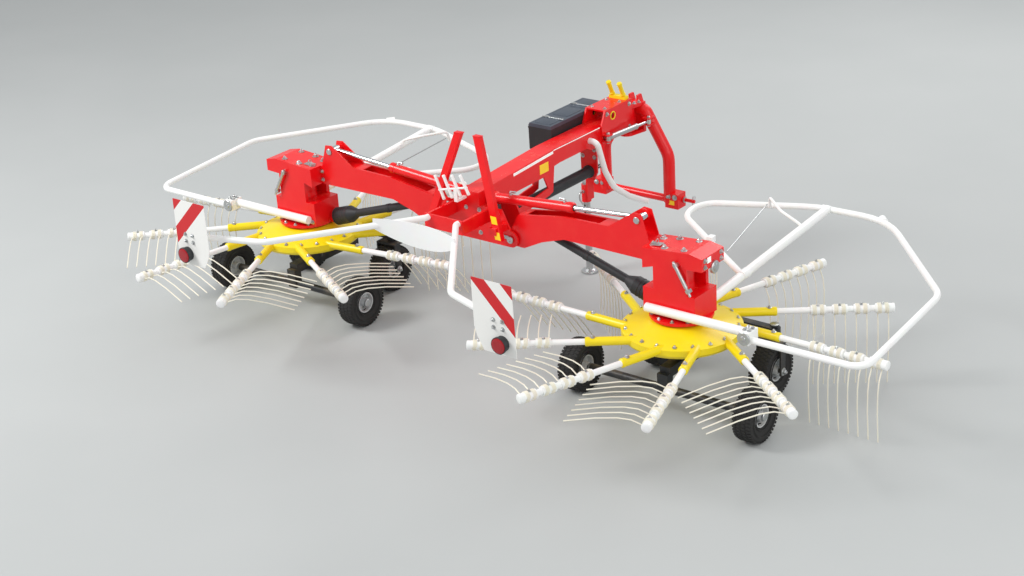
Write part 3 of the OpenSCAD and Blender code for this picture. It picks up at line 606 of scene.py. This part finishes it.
lens_profile = ((0.80, 0.91), (0.92, 0.90), (0.98, 0.78), (1, 0.5))
lens_rings = (0.36, 0.62)
bracket_in, bracket_z = 0.130, 1.070
housings, lenses = [], []
for sign in (-1, 1):
    place = Vector((sign * lamp_centre.x, lamp_centre.y, lamp_centre.z))
    housings.append(stood(turned(scaled(housing_profile, lamp_depth, lamp_radius), 40), place, (0, -1, 0)))
    lenses.append(stood(turned(scaled(lens_profile, lamp_depth, lamp_radius), 40), place, (0, -1, 0)))
    for share in lens_rings:
        rib = ring(lamp_radius * share, 0.0016, steps=40, sides=6)
        face = Matrix.Translation(place + Vector((0, -lamp_depth + 0.0012, 0)))
        rib.data.transform(face @ Matrix.Rotation(pi / 2, 4, "Z"))
        lenses.append(rib)
housing = joined("lamp_housings", housings, black_plastic_and_hole_shade, "frame")
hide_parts("rear_lamps")
joined("lamp_lenses", lenses, lamp_red, "frame")
bracket_x = board_high.x - bracket_in
rows = [(Vector((s * (bracket_x + x), board_low.y, bracket_z + z)), (0, -1, 0), m10)
        for s in (-1, 1) for x in (-0.035, 0.035) for z in (-0.025, 0.025)]
bolts("board_bolts", "frame", rows)


# Main beam and centre frame: a welded box of folded plate, bolted between two plates. It carries a white
# reflective strip below its upper right edge, a narrow white strip further along that edge that is a
# painted highlight, a bare yellow label, a ring in the nose hole, and bolts for the bearing hanger and the
# hitch cover.
beam_half = 0.080
nose_face = 0.092
nose_hole = (1.545, 1.300)
nose_top = 1.362
hanger_face = 1.340
cover_side_bolts = ((1.47, 1.330), (1.76, 1.330), (1.44, 1.150), (1.76, 1.150))
plate_rear, plate_front = -0.041, 0.131
rear_plate_bolts = ((0.060, 1.070), (0.060, 0.900), (0.185, 0.930), (0.225, 1.070))
front_plate_bolts = ((0.190, 0.930), (0.225, 1.070))


def moved(piece, place):
    """A piece moved to a place, unturned."""
    piece.data.transform(Matrix.Translation(place))
    return piece


def strip(name, body, finish, corners, thick=0.0012):
    """Thin labels or strips that lie on faces, from rows of (middle, long half edge, short half edge)."""
    made = []
    for middle, half_long, half_short in corners:
        half_long, half_short = Vector(half_long), Vector(half_short)
        normal = half_long.cross(half_short).normalized()
        piece = edged_block((2 * half_long.length, 2 * half_short.length, thick), 0.0004, 1)
        turn = Matrix((half_long.normalized(), half_short.normalized(), normal)).transposed().to_4x4()
        piece.data.transform(Matrix.Translation(Vector(middle) + normal * thick * 0.5) @ turn)
        made.append(piece)
    return joined(name, made, finish, body)


def mirrored(places, along, across):
    """Rows of bolts of one size at these places (x, y, z) and at their mirror images."""
    return [(at(s * x, y, z), (s * along[0], along[1], along[2]), across)
            for s in (-1, 1) for x, y, z in places]


# This white serves the reflective strip and the labels, and also paints a highlight along the beam's upper
# edge.
white_film_and_highlight = moulded("white_reflective_film_and_painted_highlight", "#F5F5F2", 0.25)
yellow_film = moulded("yellow_label_film", "#F3C71B", 0.35)
strip("beam_strip_and_painted_edge_highlight", "frame", white_film_and_highlight, (
    (at(beam_half, 0.57, 1.2215), (0, 0.235, 0.0125), (0, -0.0006, 0.011)),
    # A painted highlight: this narrow strip along the beam's upper edge stands for light on the edge.
    (at(beam_half, 1.10, 1.2460), (0, 0.290, 0), (0, 0, 0.0035))))
strip("beam_labels", "frame", yellow_film, ((at(beam_half, 0.69, 1.1480), (0, 0.052, 0), (0, 0, 0.036)),))
nose_ring = moved(ring(0.029, 0.0045, steps=40, sides=10), at(nose_face + 0.001, *nose_hole))
second_ring = nose_ring.copy()
second_ring.data = nose_ring.data.copy()
moved(second_ring, (-2 * nose_face - 0.002, 0, 0))
scene.collection.objects.link(second_ring)
joined("nose_rings", [nose_ring, second_ring], yellow_coat, "frame")
beam_rows = mirrored([(nose_face, y, z) for y, z in cover_side_bolts], (1, 0, 0), m12)
beam_rows += mirrored([(0.060, y, nose_top) for y in (1.49, 1.68)], (0, 0, 1), m10)
beam_rows += mirrored([(0.055, hanger_face, z) for z in (1.080, 1.020)], (0, -1, 0), m12)
beam_rows += mirrored([(x, plate_rear, z) for x, z in rear_plate_bolts], (0, -1, 0), m12)
beam_rows += mirrored([(x, plate_front, z) for x, z in front_plate_bolts], (0, 1, 0), m12)
bolts("frame_bolts", "frame", beam_rows)


# Hinge and cylinder pins: turned steel pins, zinc plated, with a retaining plate and bolt at the heads of
# the hinge pins. The pins of the cylinder bases have thin heads, and those of the rod eyes ride with the
# booms.
hinge_faces = ((-0.049, -1), (0.139, 1))
hinge_pin_profile = ((-0.002, 0.027), (0.006, 0.027), (0.009, 0.024), (0.009, 0.012), (0.005, 0.010))
keeper_size = (0.070, 0.026, 0.006)
base_pin_profile = ((-0.001, 0.018), (0.001, 0.018), (0.002, 0.016))
rod_pin_profile = ((-0.001, 0.024), (0.006, 0.024), (0.009, 0.021), (0.009, 0.008))
rod_eye_x, rod_eye_z = 1.390, 1.245
boom_faces = ((-0.020, -1), (0.110, 1))
pin_rows, pin_heads = [], []
for side, sign in SIDES.items():
    hinge = pivot["boom_fold_" + side]
    for face, way in hinge_faces:
        place = Vector((hinge.x, axle_y + face, hinge.z))
        pin_heads.append(stood(turned(hinge_pin_profile, 28), place, (0, way, 0)))
        keeper_place = place + Vector((sign * -0.034, -way * 0.005, 0.012))
        pin_heads.append(stood(edged_block(keeper_size, 0.0015), keeper_place, (0, way, 0)))
        pin_rows.append((place + Vector((sign * -0.055, -way * 0.002, 0.012)), (0, way, 0), m10))
    for way in (-1, 1):
        place = pivot["lift_pivot_" + side] + Vector((0, way * 0.040, 0))
        pin_heads.append(stood(turned(base_pin_profile, 24), place, (0, way, 0)))
joined("hinge_pin_heads", pin_heads, zinc, "frame")
bolts("pin_keeper_bolts", "frame", pin_rows)
for side, sign in SIDES.items():
    heads = []
    for face, way in boom_faces:
        heads.append(stood(turned(rod_pin_profile, 24), at(sign * rod_eye_x, face, rod_eye_z), (0, way, 0)))
    joined(f"rod_pins_{side}", heads, zinc, "boom_" + side)


# Booms: channels folded and welded from plate and painted red, each bolted on both sides to the flange
# of its rotor head.
flange_bolt_x = 1.485
flange_bolt_heights = (1.010, 1.075)
for side, sign in SIDES.items():
    rows = []
    for face, way in boom_faces:
        rows += [(at(sign * flange_bolt_x, face, z), (0, way, 0), m12) for z in flange_bolt_heights]
    bolts(f"boom_bolts_{side}", "boom_" + side, rows)


# Lift cylinders: each barrel ends in a screwed gland with a wiper ring, and has two hydraulic ports with
# steel elbows on its upper side; the rod is chromed and ends in a forged eye.
barrel_radius, rod_radius = 0.035, 0.0175
cylinder_slope = (1.260, 0.095)
port_places = ((0.160, 1), (0.630, -1))
gland_profile = ((0.655, barrel_radius + 0.0005), (0.657, barrel_radius + 0.0035),
                 (0.694, barrel_radius + 0.0035), (0.698, barrel_radius),
                 (0.704, barrel_radius - 0.004), (0.706, rod_radius + 0.003))
wiper_profile = ((0.702, rod_radius + 0.0055), (0.709, rod_radius + 0.004), (0.711, rod_radius + 0.001))
port_profile = ((barrel_radius - 0.004, 0.013), (barrel_radius + 0.008, 0.013),
                (barrel_radius + 0.010, 0.011))
port_nut_profile = ((barrel_radius + 0.008, 0.0125), (barrel_radius + 0.018, 0.0125),
                    (barrel_radius + 0.020, 0.010))
bend_profile = ((barrel_radius + 0.016, 0.007), (barrel_radius + 0.024, 0.007),
                (barrel_radius + 0.028, 0.004))
elbow_profile = ((0, 0.007), (0.026, 0.007), (0.028, 0.0085), (0.040, 0.0085), (0.042, 0.0055))
for side, sign in SIDES.items():
    barrel = f"lift_barrel_{side}"
    base = pivot["lift_pivot_" + side]
    way = Vector((sign * cylinder_slope[0], 0, cylinder_slope[1])).normalized()
    joined(f"lift_gland_{side}", [stood(turned(gland_profile, 32), base, way)], red_coat, barrel)
    joined(f"lift_wiper_{side}", [stood(turned(wiper_profile, 24), base, way)], black_plastic_and_hole_shade, barrel)
    lift_up = way.cross(Vector((0, sign, 0))).normalized()
    if lift_up.z < 0:
        lift_up.negate()
    ports = []
    for along, turn_back in port_places:
        root = base + way * along
        ports.append(stood(turned(port_profile, 20), root, lift_up))
        ports.append(stood(turned(port_nut_profile, 6), root, lift_up))
        ports.append(stood(turned(bend_profile, 16), root, lift_up))
        bend_top = root + lift_up * (barrel_radius + 0.021)
        ports.append(stood(turned(elbow_profile, 16), bend_top, way * turn_back))
    joined(f"lift_ports_{side}", ports, zinc, barrel)


# Rotor heads: welded heads, bolted on top, with a zinc plated adjusting screw on the rear face, a clip for
# the safety pin, a boss and a bare white label on the outer face, a cast gearbox on the column below, and
# a part ring of bolts on the disc.
head_face = 0.250
cover_slope = 0.0745
cover_z, cover_start = 1.118, 0.213
step_bolt_x, step_bolt_z = 0.090, 1.1415
foot_half, foot_z = 0.130, 0.690
cover_bolts = ((-0.167, -0.060), (-0.167, 0.060), (-0.060, -0.090), (-0.060, 0.090))
disc_circle, disc_top = 0.198, 0.664
disc_bolt_reach = 0.14
boss_profile = ((-0.004, 0.044), (0.012, 0.044), (0.016, 0.040), (0.016, 0.024), (0.022, 0.022),
                (0.024, 0.012))
screw_ends = ((0.045, -0.152, 1.080), (0.170, -0.152, 0.862))
screw_nut_size = (0.034, 0.034, 0.026)
clip_size = (0.075, 0.055, 0.006)
gearbox_profile = ((0.828, 0.093), (0.842, 0.097), (0.856, 0.093), (0.935, 0.084), (0.941, 0.092),
                   (0.962, 0.092), (0.968, 0.082), (1.034, 0.078))


def head(sign, x, y, z):
    """A point of a rotor head, with x from the rotor's axis outwards."""
    return at(sign * (rotor_x + x), y, z)


for side, sign in SIDES.items():
    boom = "boom_" + side
    rows = [(head(sign, x, y, cover_z + cover_slope * (x + cover_start)), (0, 0, 1), m18)
            for x, y in cover_bolts]
    rows += [(head(sign, step_bolt_x, y, step_bolt_z), (0, 0, 1), m16) for y in (-0.090, 0.090)]
    rows += [(head(sign, head_face, y, z), (sign, 0, 0), m12)
             for y in (-0.095, 0.095) for z in (1.060, 1.105)]
    for way in (-1, 1):
        rows += [(head(sign, x, way * foot_half, foot_z), (0, way, 0), m12) for x in (-0.180, 0.020, 0.160)]
    bolts(f"head_bolts_{side}", boom, rows)
    ring_rows = []
    for number in range(12):
        angle = radians(30 * number + 15)
        if abs(sin(angle)) * disc_circle > disc_bolt_reach:
            place = head(sign, disc_circle * cos(angle), disc_circle * sin(angle), disc_top)
            ring_rows.append((place, (0, 0, 1), m10))
    bolts(f"disc_bolts_{side}", boom, ring_rows)
    boss = stood(turned(boss_profile, 36), head(sign, head_face, 0.010, 1.030), (sign, 0, 0))
    joined(f"head_boss_{side}", [boss], zinc, boom)
    screw_top, screw_low = [head(sign, *end) for end in screw_ends]
    way = (screw_low - screw_top).normalized()
    length = (screw_low - screw_top).length
    screw = turned([(0, 0.008), (0.010, 0.011), (0.012, 0.0125), (length - 0.060, 0.0125),
                    (length - 0.058, 0.009), (length, 0.009), (length + 0.004, 0.006)], 18)
    pieces = [stood(screw, screw_top, way)]
    for along in (0.03, length - 0.035):
        place = screw_top + way * along + Vector((0, 0.010, 0))
        pieces.append(stood(edged_block(screw_nut_size, 0.004), place, way))
    joined(f"adjusting_screw_{side}", pieces, zinc, boom)
    plate = edged_block(clip_size, 0.0015)
    slope = Matrix.Rotation(-cover_slope * sign, 4, "Y")
    plate.data.transform(Matrix.Translation(head(sign, -0.140, -0.055, 1.130)) @ slope)
    loop = moved(ring(0.016, 0.0032, steps=28), head(sign, -0.140, -0.055, 1.147))
    joined(f"pin_clip_{side}", [plate, loop], zinc, boom)
    label = (head(sign, head_face, -0.045, 1.097), (0, sign * 0.022, 0), (0, 0, 0.020))
    strip(f"head_label_{side}", boom, white_film_and_highlight, (label,))
    casting = moved(turned(gearbox_profile, 48), head(sign, 0, 0, 0))
    joined(f"rotor_gearbox_{side}", [casting], red_coat, boom)


# Guard hoops: bent white tube held to its thick carrying tubes by pressed clamps with bolts. A short bent
# bar and a thin stay stand on the tube near the beam, and a bolted disc closes the clamp behind.
hoop_tilt = radians(4.4)
hoop_back = -0.1613
hoop_height = 0.705
clamp_places = ((0.153, 1.655, (1, 0, 0)), (0.150, 0.540, (0, 1, 0)), (0.600, 1.655, (1, -1.1, 0)))
front_clamp, rear_clamp = (0.0262, 0.035), (0.0325, 0.045)
clamp_wall = 0.0025
block_x, block_y, block_top = 0.590, -0.245, 0.753
disc_profile = ((-0.002, 0.046), (0.006, 0.046), (0.009, 0.043), (0.009, 0.020), (0.014, 0.018),
                (0.016, 0.010))
bar_corners = ((-0.205, 1.478, 0.020), (-0.200, 1.470, 0.105), (-0.030, 1.330, 0.090),
               (0.120, 1.300, 0.045), (0.153, 1.300, 0.025))
bar_radius, stay_radius = 0.011, 0.0045
latch_size = (0.045, 0.060, 0.050)


def hoop_at(sign, x, y, up=0.0):
    """A point on the tilted plane of a hoop, or so much above it."""
    level_y = hoop_back + (y - hoop_back) * cos(hoop_tilt) - up * sin(hoop_tilt)
    level_z = hoop_height + (y - hoop_back) * sin(hoop_tilt) + up * cos(hoop_tilt)
    return head(sign, x, level_y, level_z)


def tube(points, radius, sides=12):
    """A round tube through points, with closed ends."""
    clear_selection()
    bpy.ops.curve.primitive_nurbs_path_add()
    made = bpy.context.object
    made.data.splines.clear()
    line = made.data.splines.new("POLY")
    line.points.add(len(points) - 1)
    for point, place in zip(line.points, points):
        point.co = (*place, 1)
    made.data.bevel_depth = radius
    made.data.bevel_resolution = (sides - 4) // 2
    made.data.use_fill_caps = True
    clear_selection()
    made.select_set(True)
    bpy.context.view_layer.objects.active = made
    bpy.ops.object.convert(target="MESH")
    return outward(bpy.context.object)


def eased(points, radius, steps=5):
    """The same path with its corners rounded."""
    path = [Vector(points[0])]
    for before, corner, after in zip(points, points[1:], points[2:]):
        start = corner + (before - corner).normalized() * radius
        end = corner + (after - corner).normalized() * radius
        for step in range(steps + 1):
            t = step / steps
            path.append(start * (1 - t) ** 2 + corner * 2 * t * (1 - t) + end * t ** 2)
    return path + [Vector(points[-1])]


for side, sign in SIDES.items():
    boom = "boom_" + side
    clamps = []
    for x, y, way in clamp_places:
        bore, half = front_clamp if y > 1 else rear_clamp
        wall = bore + clamp_wall
        sleeve = turned([(-half, bore), (0.002 - half, wall), (half - 0.002, wall), (half, bore)], 24)
        clamps.append(stood(sleeve, hoop_at(sign, x, y), (sign * way[0], way[1], 0)))
    joined(f"hoop_sleeves_{side}", clamps, white_coat, boom)
    block = head(sign, block_x, block_y, block_top)
    rows = [(Vector((block.x + sign * x, y, block.z)), (0, 0, 1), m12)
            for x in (0.018, 0.052) for y in (block.y + 0.045, block.y + 0.085)]
    disc = stood(turned(disc_profile, 36), head(sign, 0.625, -0.2455, 0.712), (0, -1, 0))
    bolts(f"clamp_bolts_{side}", boom, rows)
    joined(f"clamp_disc_{side}", [disc], zinc, boom)
    bar = tube(eased([hoop_at(sign, *corner) for corner in bar_corners], 0.035), bar_radius)
    joined(f"hoop_stop_bar_{side}", [bar], white_coat, boom)
    stay_ends = [hoop_at(sign, -0.110, 0.745, 0.020), hoop_at(sign, -0.205, 1.440, 0.060)]
    joined(f"hoop_stay_{side}", [tube(stay_ends, stay_radius, 8)], zinc, boom)
    latch = moved(edged_block(latch_size, 0.006), hoop_at(sign, -0.300, 0.839, 0.032))
    joined(f"hoop_latch_{side}", [latch], white_coat, boom)


# Drive shaft guards: blow moulded bells with ribs at the rotor's end of thin tubes, with a collar at the
# gearbox and one halfway, all in black plastic.
shaft_low, shaft_high = at(0.430, 0.065, 1.012), at(1.451, 0.065, 0.690)
bell_ribs = (0.030, 0.056, 0.082, 0.108)
gear_collar = ((0.020, 0.0305), (0.024, 0.036), (0.070, 0.036), (0.090, 0.0305))
middle_collar = ((0.480, 0.0305), (0.484, 0.0335), (0.520, 0.0335), (0.524, 0.0305))
for side, sign in SIDES.items():
    start = Vector((sign * shaft_low.x, shaft_low.y, shaft_low.z))
    end = Vector((sign * shaft_high.x, shaft_high.y, shaft_high.z))
    way = (end - start).normalized()
    length = (end - start).length
    ribs = []
    for along in bell_ribs:
        ribs.append(turned([(length - along - 0.006, 0.0645), (length - along - 0.003, 0.0675),
                            (length - along + 0.003, 0.0675), (length - along + 0.006, 0.0645)], 40))
    ribs.append(turned([(length - 0.012, 0.0650), (length - 0.010, 0.0690),
                        (length - 0.003, 0.0690), (length - 0.001, 0.0640)], 40))
    ribs.append(turned(gear_collar, 32))
    ribs.append(turned(middle_collar, 32))
    for rib in ribs:
        stood(rib, start, way)
    joined(f"shaft_guard_ribs_{side}", ribs, black_plastic_and_hole_shade, "boom_" + side)


# Centre gearbox and input shaft: a cast housing with four cover bolts, and a shaft in a plastic guard that
# ends in a collar at its hanger bearing; six splines stand on the stub in front.
box_low, box_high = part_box("centre_gearbox")
rows = [(Vector((x, y, box_high.z)), (0, 0, 1), m12)
        for x in (box_low.x + 0.022, box_high.x - 0.022) for y in (box_low.y + 0.022, axle_y + 0.094)]
bolts("gearbox_bolts", "frame", rows)
shaft_z = 0.900
stub_end_y = axle_y + 1.470
stub_radius = 0.01745
spline_count = 6
spline_size = (0.0082, 0.0034, 0.072)
splines = []
for number in range(spline_count):
    spline = edged_block(spline_size, 0.0008, 1)
    angle = 2 * pi * number / spline_count
    stub = aimed(Vector((0, stub_end_y - 0.040, shaft_z)), (0, 1, 0), angle)
    spline.data.transform(stub @ Matrix.Translation((0, stub_radius - 0.0012, 0)))
    splines.append(spline)
joined("stub_splines", splines, zinc, "frame")
collar = turned([(0, 0.0435), (0.004, 0.050), (0.030, 0.050), (0.034, 0.046)], 36)
stood(collar, at(0, 1.3215 - 0.004, shaft_z), (0, 1, 0))
bearing = turned([(0, 0.062), (0.010, 0.062), (0.014, 0.058), (0.014, 0.0445), (0.022, 0.0445)], 36)
stood(bearing, at(0, 1.355, shaft_z), (0, 1, 0))
joined("shaft_collar", [collar], black_plastic_and_hole_shade, "frame")
joined("hanger_bearing", [bearing], zinc, "frame")


# Tool box: a moulded box with ribs on its outer side, a lid with raised panels, and two straps with
# buckles that hold it shut.
lid_low, lid_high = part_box("toolbox_lid")
tool_low, tool_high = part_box("toolbox")
rib_count = 9
rib_margin = 0.060
rib_x = tool_low.x - 0.002
panel_count, panel_pitch = 3, 0.220
panel_size = (0.140, 0.180, 0.010)
strap_places = (0.165, 0.520)
strap_width = 0.016
ribs = []
for number in range(rib_count):
    y = tool_low.y + rib_margin + number * (tool_high.y - tool_low.y - 2 * rib_margin) / (rib_count - 1)
    rib = edged_block((0.008, 0.014, tool_high.z - tool_low.z - 0.030), 0.0025)
    ribs.append(moved(rib, (rib_x, y, (tool_low.z + tool_high.z) / 2)))
rim = edged_block((0.010, tool_high.y - tool_low.y - 0.004, 0.014), 0.003)
moved(rim, (rib_x, (tool_low.y + tool_high.y) / 2, tool_high.z - 0.010))
joined("toolbox_ribs", ribs + [rim], black_plastic_and_hole_shade, "frame")
lid_middle = (lid_low.x + lid_high.x) / 2
panels = []
for number in range(panel_count):
    y = lid_low.y + 0.120 + number * panel_pitch
    panels.append(moved(edged_block(panel_size, 0.0045, 3), (lid_middle + 0.006, y, lid_high.z)))
joined("lid_panels", panels, lid_plastic, "toolbox_lid")
straps = []
for y in strap_places:
    flat = edged_block((lid_high.x - lid_low.x - 0.020, strap_width, 0.004), 0.0012, 1)
    buckle = edged_block((0.030, 0.026, 0.008), 0.002)
    straps.append(moved(flat, (lid_middle, lid_low.y + y, lid_high.z + 0.0065)))
    straps.append(moved(buckle, (lid_low.x + 0.050, lid_low.y + y, lid_high.z + 0.009)))
joined("lid_straps", straps, zinc, "toolbox_lid")
side_straps = []
for y in strap_places:
    strap = edged_block((0.004, strap_width, 0.120), 0.0012, 1)
    side_straps.append(moved(strap, (tool_low.x - 0.007, tool_low.y + y, tool_high.z - 0.066)))
joined("side_straps", side_straps, zinc, "frame")


# Headstock: welded tube and plate, with turned hitch pins that end in a linch pin with its ring, a capped
# swivel pin with a grease nipple, and a bolt through each pair of damper lugs.
hitch_pin = (0.4125, 2.010, 0.520)
linch_out = 0.080
swivel_y = pivot["headstock_swivel"].y
lug_bolt = (0.175, 1.895, 1.162)
lug_half = 0.0283
swivel_top = 1.287
swivel_profile = ((-0.001, 0.046), (0.008, 0.046), (0.012, 0.042), (0.012, 0.030), (0.018, 0.028),
                  (0.020, 0.020))
nipple_profile = ((0, 0.005), (0.010, 0.005), (0.012, 0.0035), (0.018, 0.0035), (0.020, 0.0025))
pins = []
for sign in (-1, 1):
    base = at(sign * hitch_pin[0], hitch_pin[1], hitch_pin[2])
    collar = turned([(-0.001, 0.024), (0.008, 0.024), (0.010, 0.021)], 28)
    linch = turned([(-0.030, 0.0042), (0.032, 0.0042), (0.036, 0.003)], 12)
    pins.append(stood(collar, base, (sign, 0, 0)))
    pins.append(stood(linch, base + Vector((sign * linch_out, 0, 0)), (0, 0.3, 1)))
    pins.append(moved(ring(0.020, 0.0022, steps=32), base + Vector((sign * linch_out, 0.012, 0.020))))
pins.append(moved(turned(swivel_profile, 36), (0, swivel_y, swivel_top)))
pins.append(moved(turned(nipple_profile, 12), (0, swivel_y, swivel_top + 0.019)))
for up in (-1, 1):
    lug_head = turned([(-0.001, 0.016), (0.004, 0.016), (0.005, 0.013), (0.013, 0.013), (0.015, 0.010)], 6)
    pins.append(stood(lug_head, at(lug_bolt[0], lug_bolt[1], lug_bolt[2] + up * lug_half), (0, 0, up)))
joined("headstock_pins", pins, zinc, "headstock")
rows = mirrored([(0.050, 1.890, swivel_top)], (0, 0, 1), m12)
rows += mirrored([(0.062, 1.935, swivel_top)], (0, 0, 1), m12)
rows += mirrored([(x, 1.930, 0.555) for x in (0.315, 0.375)], (0, -1, 0), m16)
bolts("headstock_bolts", "headstock", rows)
strip("headstock_labels", "headstock", yellow_film,
      ((at(0.345, 1.930, 0.508), (0.026, 0, 0), (0, 0, 0.018)),))


# Damper: a zinc plated gas strut with a screwed gland, a chromed rod and a bolt through each eye. The
# bolt at the rod's end belongs to the headstock.
damper_base = pivot["damper_pivot_right"]
damper_way = Vector((0.047, 0.470, 0)).normalized()
gland = turned([(0.315, 0.0205), (0.317, 0.0225), (0.329, 0.0225), (0.333, 0.015), (0.336, 0.013)], 28)
tail = turned([(0.020, 0.0205), (0.026, 0.0218), (0.040, 0.0218), (0.044, 0.0205)], 28)
damper_rings = [stood(piece, damper_base, damper_way) for piece in (gland, tail)]
joined("damper_rings", damper_rings, zinc, "damper_barrel_right")
damper_nuts = []
for up in (-1, 1):
    nut = turned([(-0.001, 0.016), (0.003, 0.016), (0.004, 0.014), (0.012, 0.014), (0.014, 0.011)], 6)
    damper_nuts.append(stood(nut, damper_base + Vector((0, 0, up * lug_half)), (0, 0, up)))
joined("damper_nuts", damper_nuts, zinc, "frame")


# Parking leg: a zinc plated tube with a row of pin holes, a pin with a handle in the sleeve, and a pressed
# foot with a raised rim. The holes are drawn as dark rounds of painted shade that lie on the tube.
leg_x, leg_y, leg_radius = -0.120, 1.450, 0.0275
leg_hole_radius = 0.0075
leg_hole_count, leg_hole_pitch = 4, 0.060
lowest_hole = 0.390
leg_skin = 0.0001
lock_pin_z = 0.690
foot = turned([(0.010, 0.0640), (0.013, 0.0665), (0.018, 0.0640), (0.018, 0.045), (0.030, 0.030)], 40)
joined("leg_foot_rim", [moved(foot, at(leg_x, leg_y, 0))], zinc, "parking_leg")
holes = []
for number in range(leg_hole_count):
    clear_selection()
    bpy.ops.mesh.primitive_circle_add(vertices=24, radius=leg_hole_radius, fill_type="NGON")
    hole = bpy.context.object
    edit_all()
    for step in range(3):
        bpy.ops.mesh.inset(thickness=leg_hole_radius / 4)
    bpy.ops.object.mode_set(mode="OBJECT")
    stood(hole, at(leg_x, leg_y, lowest_hole + leg_hole_pitch * number), (0, -1, 0))
    for corner in hole.data.vertices:
        depth = sqrt((leg_radius + leg_skin) ** 2 - (corner.co.x - leg_x) ** 2)
        corner.co.y = axle_y + leg_y - depth
    holes.append(hole)
# These dark rounds are painted shade for the pin holes, in the black plastic finish.
joined("leg_pin_holes_painted_shade", holes, black_plastic_and_hole_shade, "parking_leg")
handle_corners = [at(leg_x, leg_y - 0.060, lock_pin_z), at(leg_x, leg_y - 0.085, lock_pin_z),
                  at(leg_x, leg_y - 0.090, 0.640), at(leg_x + 0.020, leg_y - 0.078, 0.600)]
handle = tube(eased(handle_corners, 0.012), 0.006, 10)
stem = turned([(0, 0.013), (0.010, 0.013), (0.014, 0.010), (0.030, 0.010)], 20)
stood(stem, at(leg_x, leg_y - 0.036, lock_pin_z), (0, -1, 0))
joined("leg_lock_pin", [handle, stem], zinc, "frame")


# Posts, hose comb and couplings: plates close the tops of the square posts, which bear two bare yellow
# labels; caps close the ends of the comb's rods, and yellow rings mark the parked hose couplings.
post_foot, post_head = Vector((0.322, -0.150, 0.930)), Vector((0.084, -0.030, 1.616))
post_way = (post_head - post_foot).normalized()
post_half = 0.0184
comb_y = -0.155
comb_pitch = 0.077
coupling_ends = ((1.757, 1.377), (1.700, 1.505))
coupling_collar = ((0.018, 0.0175), (0.021, 0.021), (0.034, 0.021), (0.037, 0.0175))
coupling_mouth = ((0.118, 0.0172), (0.121, 0.0205), (0.136, 0.0205), (0.141, 0.0150), (0.134, 0.0130))
caps = []
for sign in (-1, 1):
    cap = edged_block((0.066, 0.042, 0.006), 0.002)
    caps.append(moved(cap, at(sign * post_head.x, post_head.y, 1.6165)))
joined("post_caps", caps, red_coat, "frame")
label_rows = []
for along in (0.036, 0.147):
    middle = post_foot + post_way * along
    half_tall = (post_way.x * 0.028, post_way.y * 0.028, post_way.z * 0.028)
    label_rows.append((at(middle.x, middle.y - post_half, middle.z), (0.025, 0, 0), half_tall))
strip("post_labels", "frame", yellow_film, label_rows)
comb_tips = []
for number in range(4):
    low = at(-0.160 + comb_pitch * number, comb_y, 1.150 + 0.025 * number)
    top = at(-0.225 + comb_pitch * number, comb_y, 1.310 + 0.014 * number)
    way = (top - low).normalized()
    for place, direction in ((top, way), (low, -way)):
        tip = turned([(-0.010, 0.0118), (0.002, 0.0118), (0.006, 0.009), (0.007, 0.005)], 20)
        comb_tips.append(stood(tip, place, direction))
joined("comb_tips", comb_tips, white_coat, "frame")
rings = []
for sign in (-1, 1):
    root, tip = [at(sign * 0.050, y, z) for y, z in coupling_ends]
    way = (tip - root).normalized()
    rings.append(stood(turned(coupling_collar, 24), root, way))
    rings.append(stood(turned(coupling_mouth, 24), root, way))
joined("coupling_rings", rings, yellow_coat, "frame")


# Wheel carriers: welded from square tube and painted black. Zinc plated collars close the ends of the
# rear axle, and a cap the top of each caster's post.
axle_collar = (0.603, -0.215, 0.185)
collar_profile = ((-0.001, 0.030), (0.010, 0.030), (0.012, 0.026))
caster_top = 0.494
caster_cap_profile = ((-0.001, 0.031), (0.003, 0.031), (0.0045, 0.026), (0.0045, 0.010))
for side, sign in SIDES.items():
    collars = []
    for way in (-1, 1):
        place = at(sign * rotor_x + way * axle_collar[0], axle_collar[1], axle_collar[2])
        collars.append(stood(turned(collar_profile, 28), place, (way, 0, 0)))
    joined(f"axle_collars_{side}", collars, zinc, "boom_" + side)
    for place in ("inner", "outer"):
        post = pivot[f"caster_swivel_{side}_{place}"]
        cap = moved(turned(caster_cap_profile, 28), (post.x, post.y, caster_top))
        joined(f"caster_cap_{side}_{place}", [cap], zinc, f"caster_{side}_{place}")
